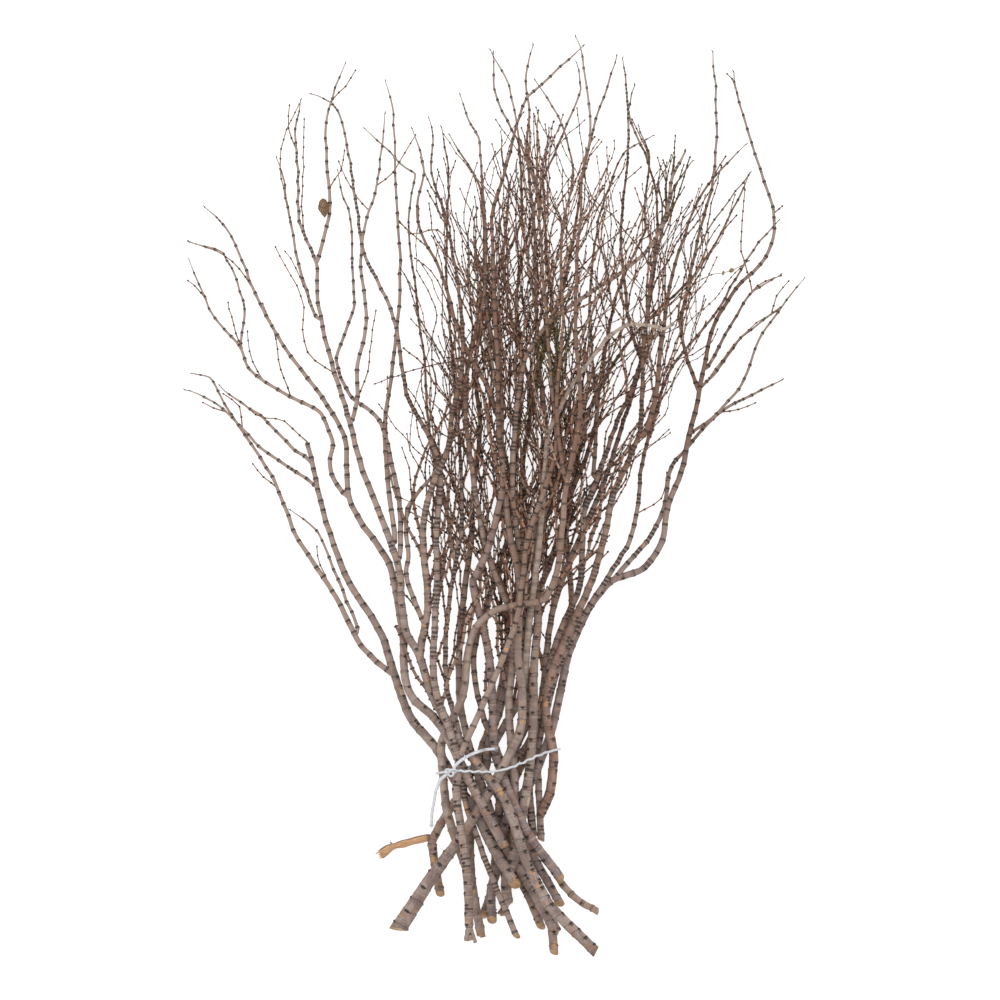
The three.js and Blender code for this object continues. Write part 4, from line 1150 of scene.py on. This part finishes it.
def twig_rings(nodes, girths):
    """The middle, reach and darkness of each ring of a twig, from its foot to the bud at its tip."""
    rings = [(nodes[0], girths[0], 0.0)]
    for before, at, after, girth in zip(nodes, nodes[1:], nodes[2:], girths[1:]):
        back, on = (before - at).normalized(), (after - at).normalized()
        rings.append((at + back * BUD_HALF, girth, 0.2))
        rings.append((at, girth * BUD_SWELL, 1.0))
        rings.append((at + on * BUD_HALF, girth, 0.2))
    tip, girth = nodes[-1], girths[-1]
    back = (nodes[-2] - tip).normalized()
    rings.append((tip + back * 2 * BUD_HALF, girth, 0.2))
    rings.append((tip + back * BUD_HALF, girth * 2, 1.0))
    rings.append((tip, girth * 0.4, 1.0))
    return rings


def twig_mesh(some, name):
    """Joins many twigs into one mesh, with each corner's place on the bark and its darkness."""
    corners, faces, growth, bark_place = [], [], [], []
    for number, (nodes, girths) in enumerate(some):
        rings = twig_rings(nodes, girths)
        first = len(corners)
        along = 0.0
        for i, (middle, reach, dark) in enumerate(rings):
            ahead = (rings[min(i + 1, len(rings) - 1)][0] - rings[max(i - 1, 0)][0]).normalized()
            side = ahead.cross(Vector((0, 0, 1))).normalized()
            up = side.cross(ahead)
            along += (middle - rings[max(i - 1, 0)][0]).length / MM
            for k in range(TWIG_SIDES):
                turn = 2 * math.pi * (k + 0.5) / TWIG_SIDES
                out = side * math.cos(turn) + up * math.sin(turn)
                corners.append(middle + out * reach)
                growth.append((dark, reach / MM, number % 17 / 17))
                bark_place.append(place_round(reach / MM, turn, along + 31.0 * number))
        for i in range(len(rings) - 1):
            for k in range(TWIG_SIDES):
                a, b = first + i * TWIG_SIDES + k, first + i * TWIG_SIDES + (k + 1) % TWIG_SIDES
                faces.append((a, b, b + TWIG_SIDES, a + TWIG_SIDES))
        faces.append(tuple(range(first + TWIG_SIDES - 1, first - 1, -1)))
        faces.append(tuple(range(len(corners) - TWIG_SIDES, len(corners))))
    mesh = bpy.data.meshes.new(name)
    mesh.from_pydata(corners, [], faces)
    mesh.validate()
    for layer, values in (("growth", growth), ("bark_place", bark_place)):
        mesh.attributes.new(layer, "FLOAT_VECTOR", "POINT").data.foreach_set("vector", np.ravel(values))
    return mesh


# %% Twig bark
def twig_bark(name, tone, deep):
    """Brown twig bark, nearly black on the buds."""
    finish = Finish(name, 0.8)
    place = finish.attribute("bark_place")
    dark, girth, own = finish.parts(finish.attribute("growth"))
    mottle = finish.cloudy(finish.scaled(place, (0.5, 0.5, 0.12)), 1.0, 4.0)
    colour = finish.mix(finish.ramp(mottle, 0.35, 0.65), tone, deep)
    colour = finish.mix(finish.ramp(own, 0.1, 0.9, 0, 0.6), colour, tuple(0.6 * c for c in deep))
    finish.bump(mottle, 0.4, 0.3 * MM)
    return finish.colour(finish.mix(finish.ramp(dark, 0.3, 0.65, 0, 0.9), colour, RING_BLACK))


TWIG_BARKS = (
    twig_bark("twig_bark_brown", (0.400, 0.215, 0.140), (0.240, 0.122, 0.078)),
    twig_bark("twig_bark_grey", (0.430, 0.280, 0.215), (0.265, 0.165, 0.122)),
    twig_bark("twig_bark_olive", (0.235, 0.165, 0.062), (0.125, 0.086, 0.036)),
)
# %% Hand the twigs out to seven bunches
BROOMS = 6
BARK_OF_BUNCH = (0, 1, 0, 1, 0, 0, 2)
OLIVE_PX = ((553, 352, 14, 38), (672, 190, 12, 40))  # middle, half width, half height


def is_olive(twig):
    """Whether a twig's middle lies in one of the two patches where the bark has an olive bloom."""
    px, py = pixel(twig[0][len(twig[0]) // 2])
    return any(math.hypot((px - x) / w, (py - y) / h) < 1 for x, y, w, h in OLIVE_PX)


plain_twigs = [twig for twig in twigs if not is_olive(twig)]
bunches = [plain_twigs[broom::BROOMS] for broom in range(BROOMS)]
bunches.append([twig for twig in twigs if is_olive(twig)])
for number, bunch in enumerate(bunches):
    name = "fine_twigs_" + str(number + 1)
    piece = riding(name, twig_mesh(bunch, name), [TWIG_BARKS[BARK_OF_BUNCH[number]]])
    print(name, len(piece.data.polygons), "faces")

# %% [markdown]
# ## Small finds
# A dry brown cocoon hangs on a branch at the upper left, and a few crumpled leaf remains are caught in the
# twigs on the right. Each is a ball of small faces, stretched or flattened to its size and then crumpled
# with noise, which keeps it closed however thin it gets.

# %% Dry leaf
def dry_leaf(name, tone, deep):
    """Dull, mottled brown of a dried leaf."""
    finish = Finish(name, 0.85)
    place = finish.scaled(finish.tree.nodes.new("ShaderNodeTexCoord").outputs["Object"], (1000, 1000, 1000))
    mottle = finish.cloudy(place, 0.8, 5.0)
    finish.bump(mottle, 0.9, 0.8 * MM)
    return finish.colour(finish.mix(finish.ramp(mottle, 0.38, 0.62), tone, deep))


# %% Crumple a ball
def crumpled(bm, middle, half, turn, seed, taper=0.0):
    """Adds one crumpled ball, half as large each way as half says, that narrows downwards by taper."""
    made = bmesh.ops.create_icosphere(bm, subdivisions=4 if taper else 3, radius=1)["verts"]
    for v in made:
        p = v.co.copy()
        fold = 0.22 * noise.noise(p * 2.3 + Vector((seed, 0, 0)))
        fold += 0.12 * noise.noise(p * 5.1 + Vector((0, seed, 0)))
        slim = (1 - taper * max(0, -p.y) ** 1.2) * (1 + fold)
        v.co = Vector((p.x * half[0] * slim, p.y * half[1] * (1 + 0.3 * fold), p.z * half[2] * slim)) * MM
        v.co.z += half[0] * MM * 0.5 * noise.noise(p * 1.3 + Vector((0, 0, seed)))
    bmesh.ops.rotate(bm, verts=made, matrix=Matrix.Rotation(turn, 3, "Z"))
    bmesh.ops.translate(bm, verts=made, vec=middle)


# %% Cocoon and leaf remains
LEAVES_PX = (  # where, half its length and width in mm, how far it is turned
    (729, 268, 3.4, 2.6, 0.4), (719, 277, 2.8, 1.6, 1.3), (724, 278, 1.9, 1.0, 0.5),
    (712, 301, 1.9, 1.5, 0.2), (708, 310, 2.1, 1.2, 1.2), (707, 320, 3.4, 1.2, 1.5),
    (692, 392, 2.8, 1.8, 0.9), (673, 360, 2.6, 1.6, 1.4), (708, 399, 2.4, 1.5, 0.2),
    (734, 254, 1.4, 1.0, 0.0), (664, 326, 2.4, 1.6, 0.7), (668, 345, 1.9, 1.3, 1.1),
)
every_wood = np.concatenate([every_line, [list(node) for nodes, _ in twigs for node in nodes]])
bm = bmesh.new()
cocoon_height = nearest_of(every_wood, spot(328, 208)).z + 2 * MM
crumpled(bm, spot(324, 208.5, cocoon_height), (6.2, 11.6, 5.4), 0.12, 3.0, 0.62)
piece_from(bm, "cocoon", [dry_leaf("cocoon_skin", (0.30, 0.185, 0.110), (0.105, 0.058, 0.034))])

bm = bmesh.new()
for number, (px, py, long, wide, turn) in enumerate(LEAVES_PX):
    crumpled(bm, nearest_of(every_wood, spot(px, py)), (long, wide, 0.9), turn, number + 7.0)
piece_from(bm, "leaf_remains", [dry_leaf("leaf_remains_skin", (0.40, 0.30, 0.170), (0.20, 0.135, 0.070))])
print("leaf remains:", len(LEAVES_PX))

# %% [markdown]
# ## Floor and light
# A plain pale floor and wide, soft light from above, with a little light from the floor itself, so that the
# pile stays readable down to its lowest stems and the floor stays nearly white.

# %% Floor
FLOOR_HALF = 6


def pale_floor():
    """An even, nearly white floor that gives a little light."""
    finish = Finish("pale_floor", 0.9)
    finish.shader.inputs["Emission Color"].default_value = (1, 1, 1, 1)
    finish.shader.inputs["Emission Strength"].default_value = 0.84
    place = finish.tree.nodes.new("ShaderNodeTexCoord").outputs["Object"]
    return finish.colour(finish.mix(finish.cloudy(place, 3.0), (0.34, 0.34, 0.34), (0.36, 0.36, 0.36)))


bm = bmesh.new()
bmesh.ops.create_grid(bm, x_segments=1, y_segments=1, size=FLOOR_HALF)
floor_mesh = mesh_of(bm, "floor")
floor_mesh.materials.append(pale_floor())
shown("floor", floor_mesh)

# %% Light
def softbox(name, place, size, watts):
    """A square lamp that faces the middle of the bundle."""
    lamp = bpy.data.lights.new(name, "AREA")
    lamp.shape, lamp.size, lamp.energy = "SQUARE", size, watts
    holder = shown(name, lamp)
    holder.location = place
    holder.rotation_euler = (Vector((0, 0, 0.1)) - Vector(place)).to_track_quat("-Z", "Y").to_euler()


softbox("overhead", (0.2, 0.4, 2.6), 2.4, 46)
softbox("left_fill", (-2.2, 0.6, 1.4), 1.6, 16)
world = bpy.data.worlds.new("studio")
bpy.context.scene.world = world
world.use_nodes = True
world.node_tree.nodes["Background"].inputs["Color"].default_value = (1, 1, 1, 1)
world.node_tree.nodes["Background"].inputs["Strength"].default_value = 0.55
bpy.context.scene.view_settings.view_transform = "Standard"
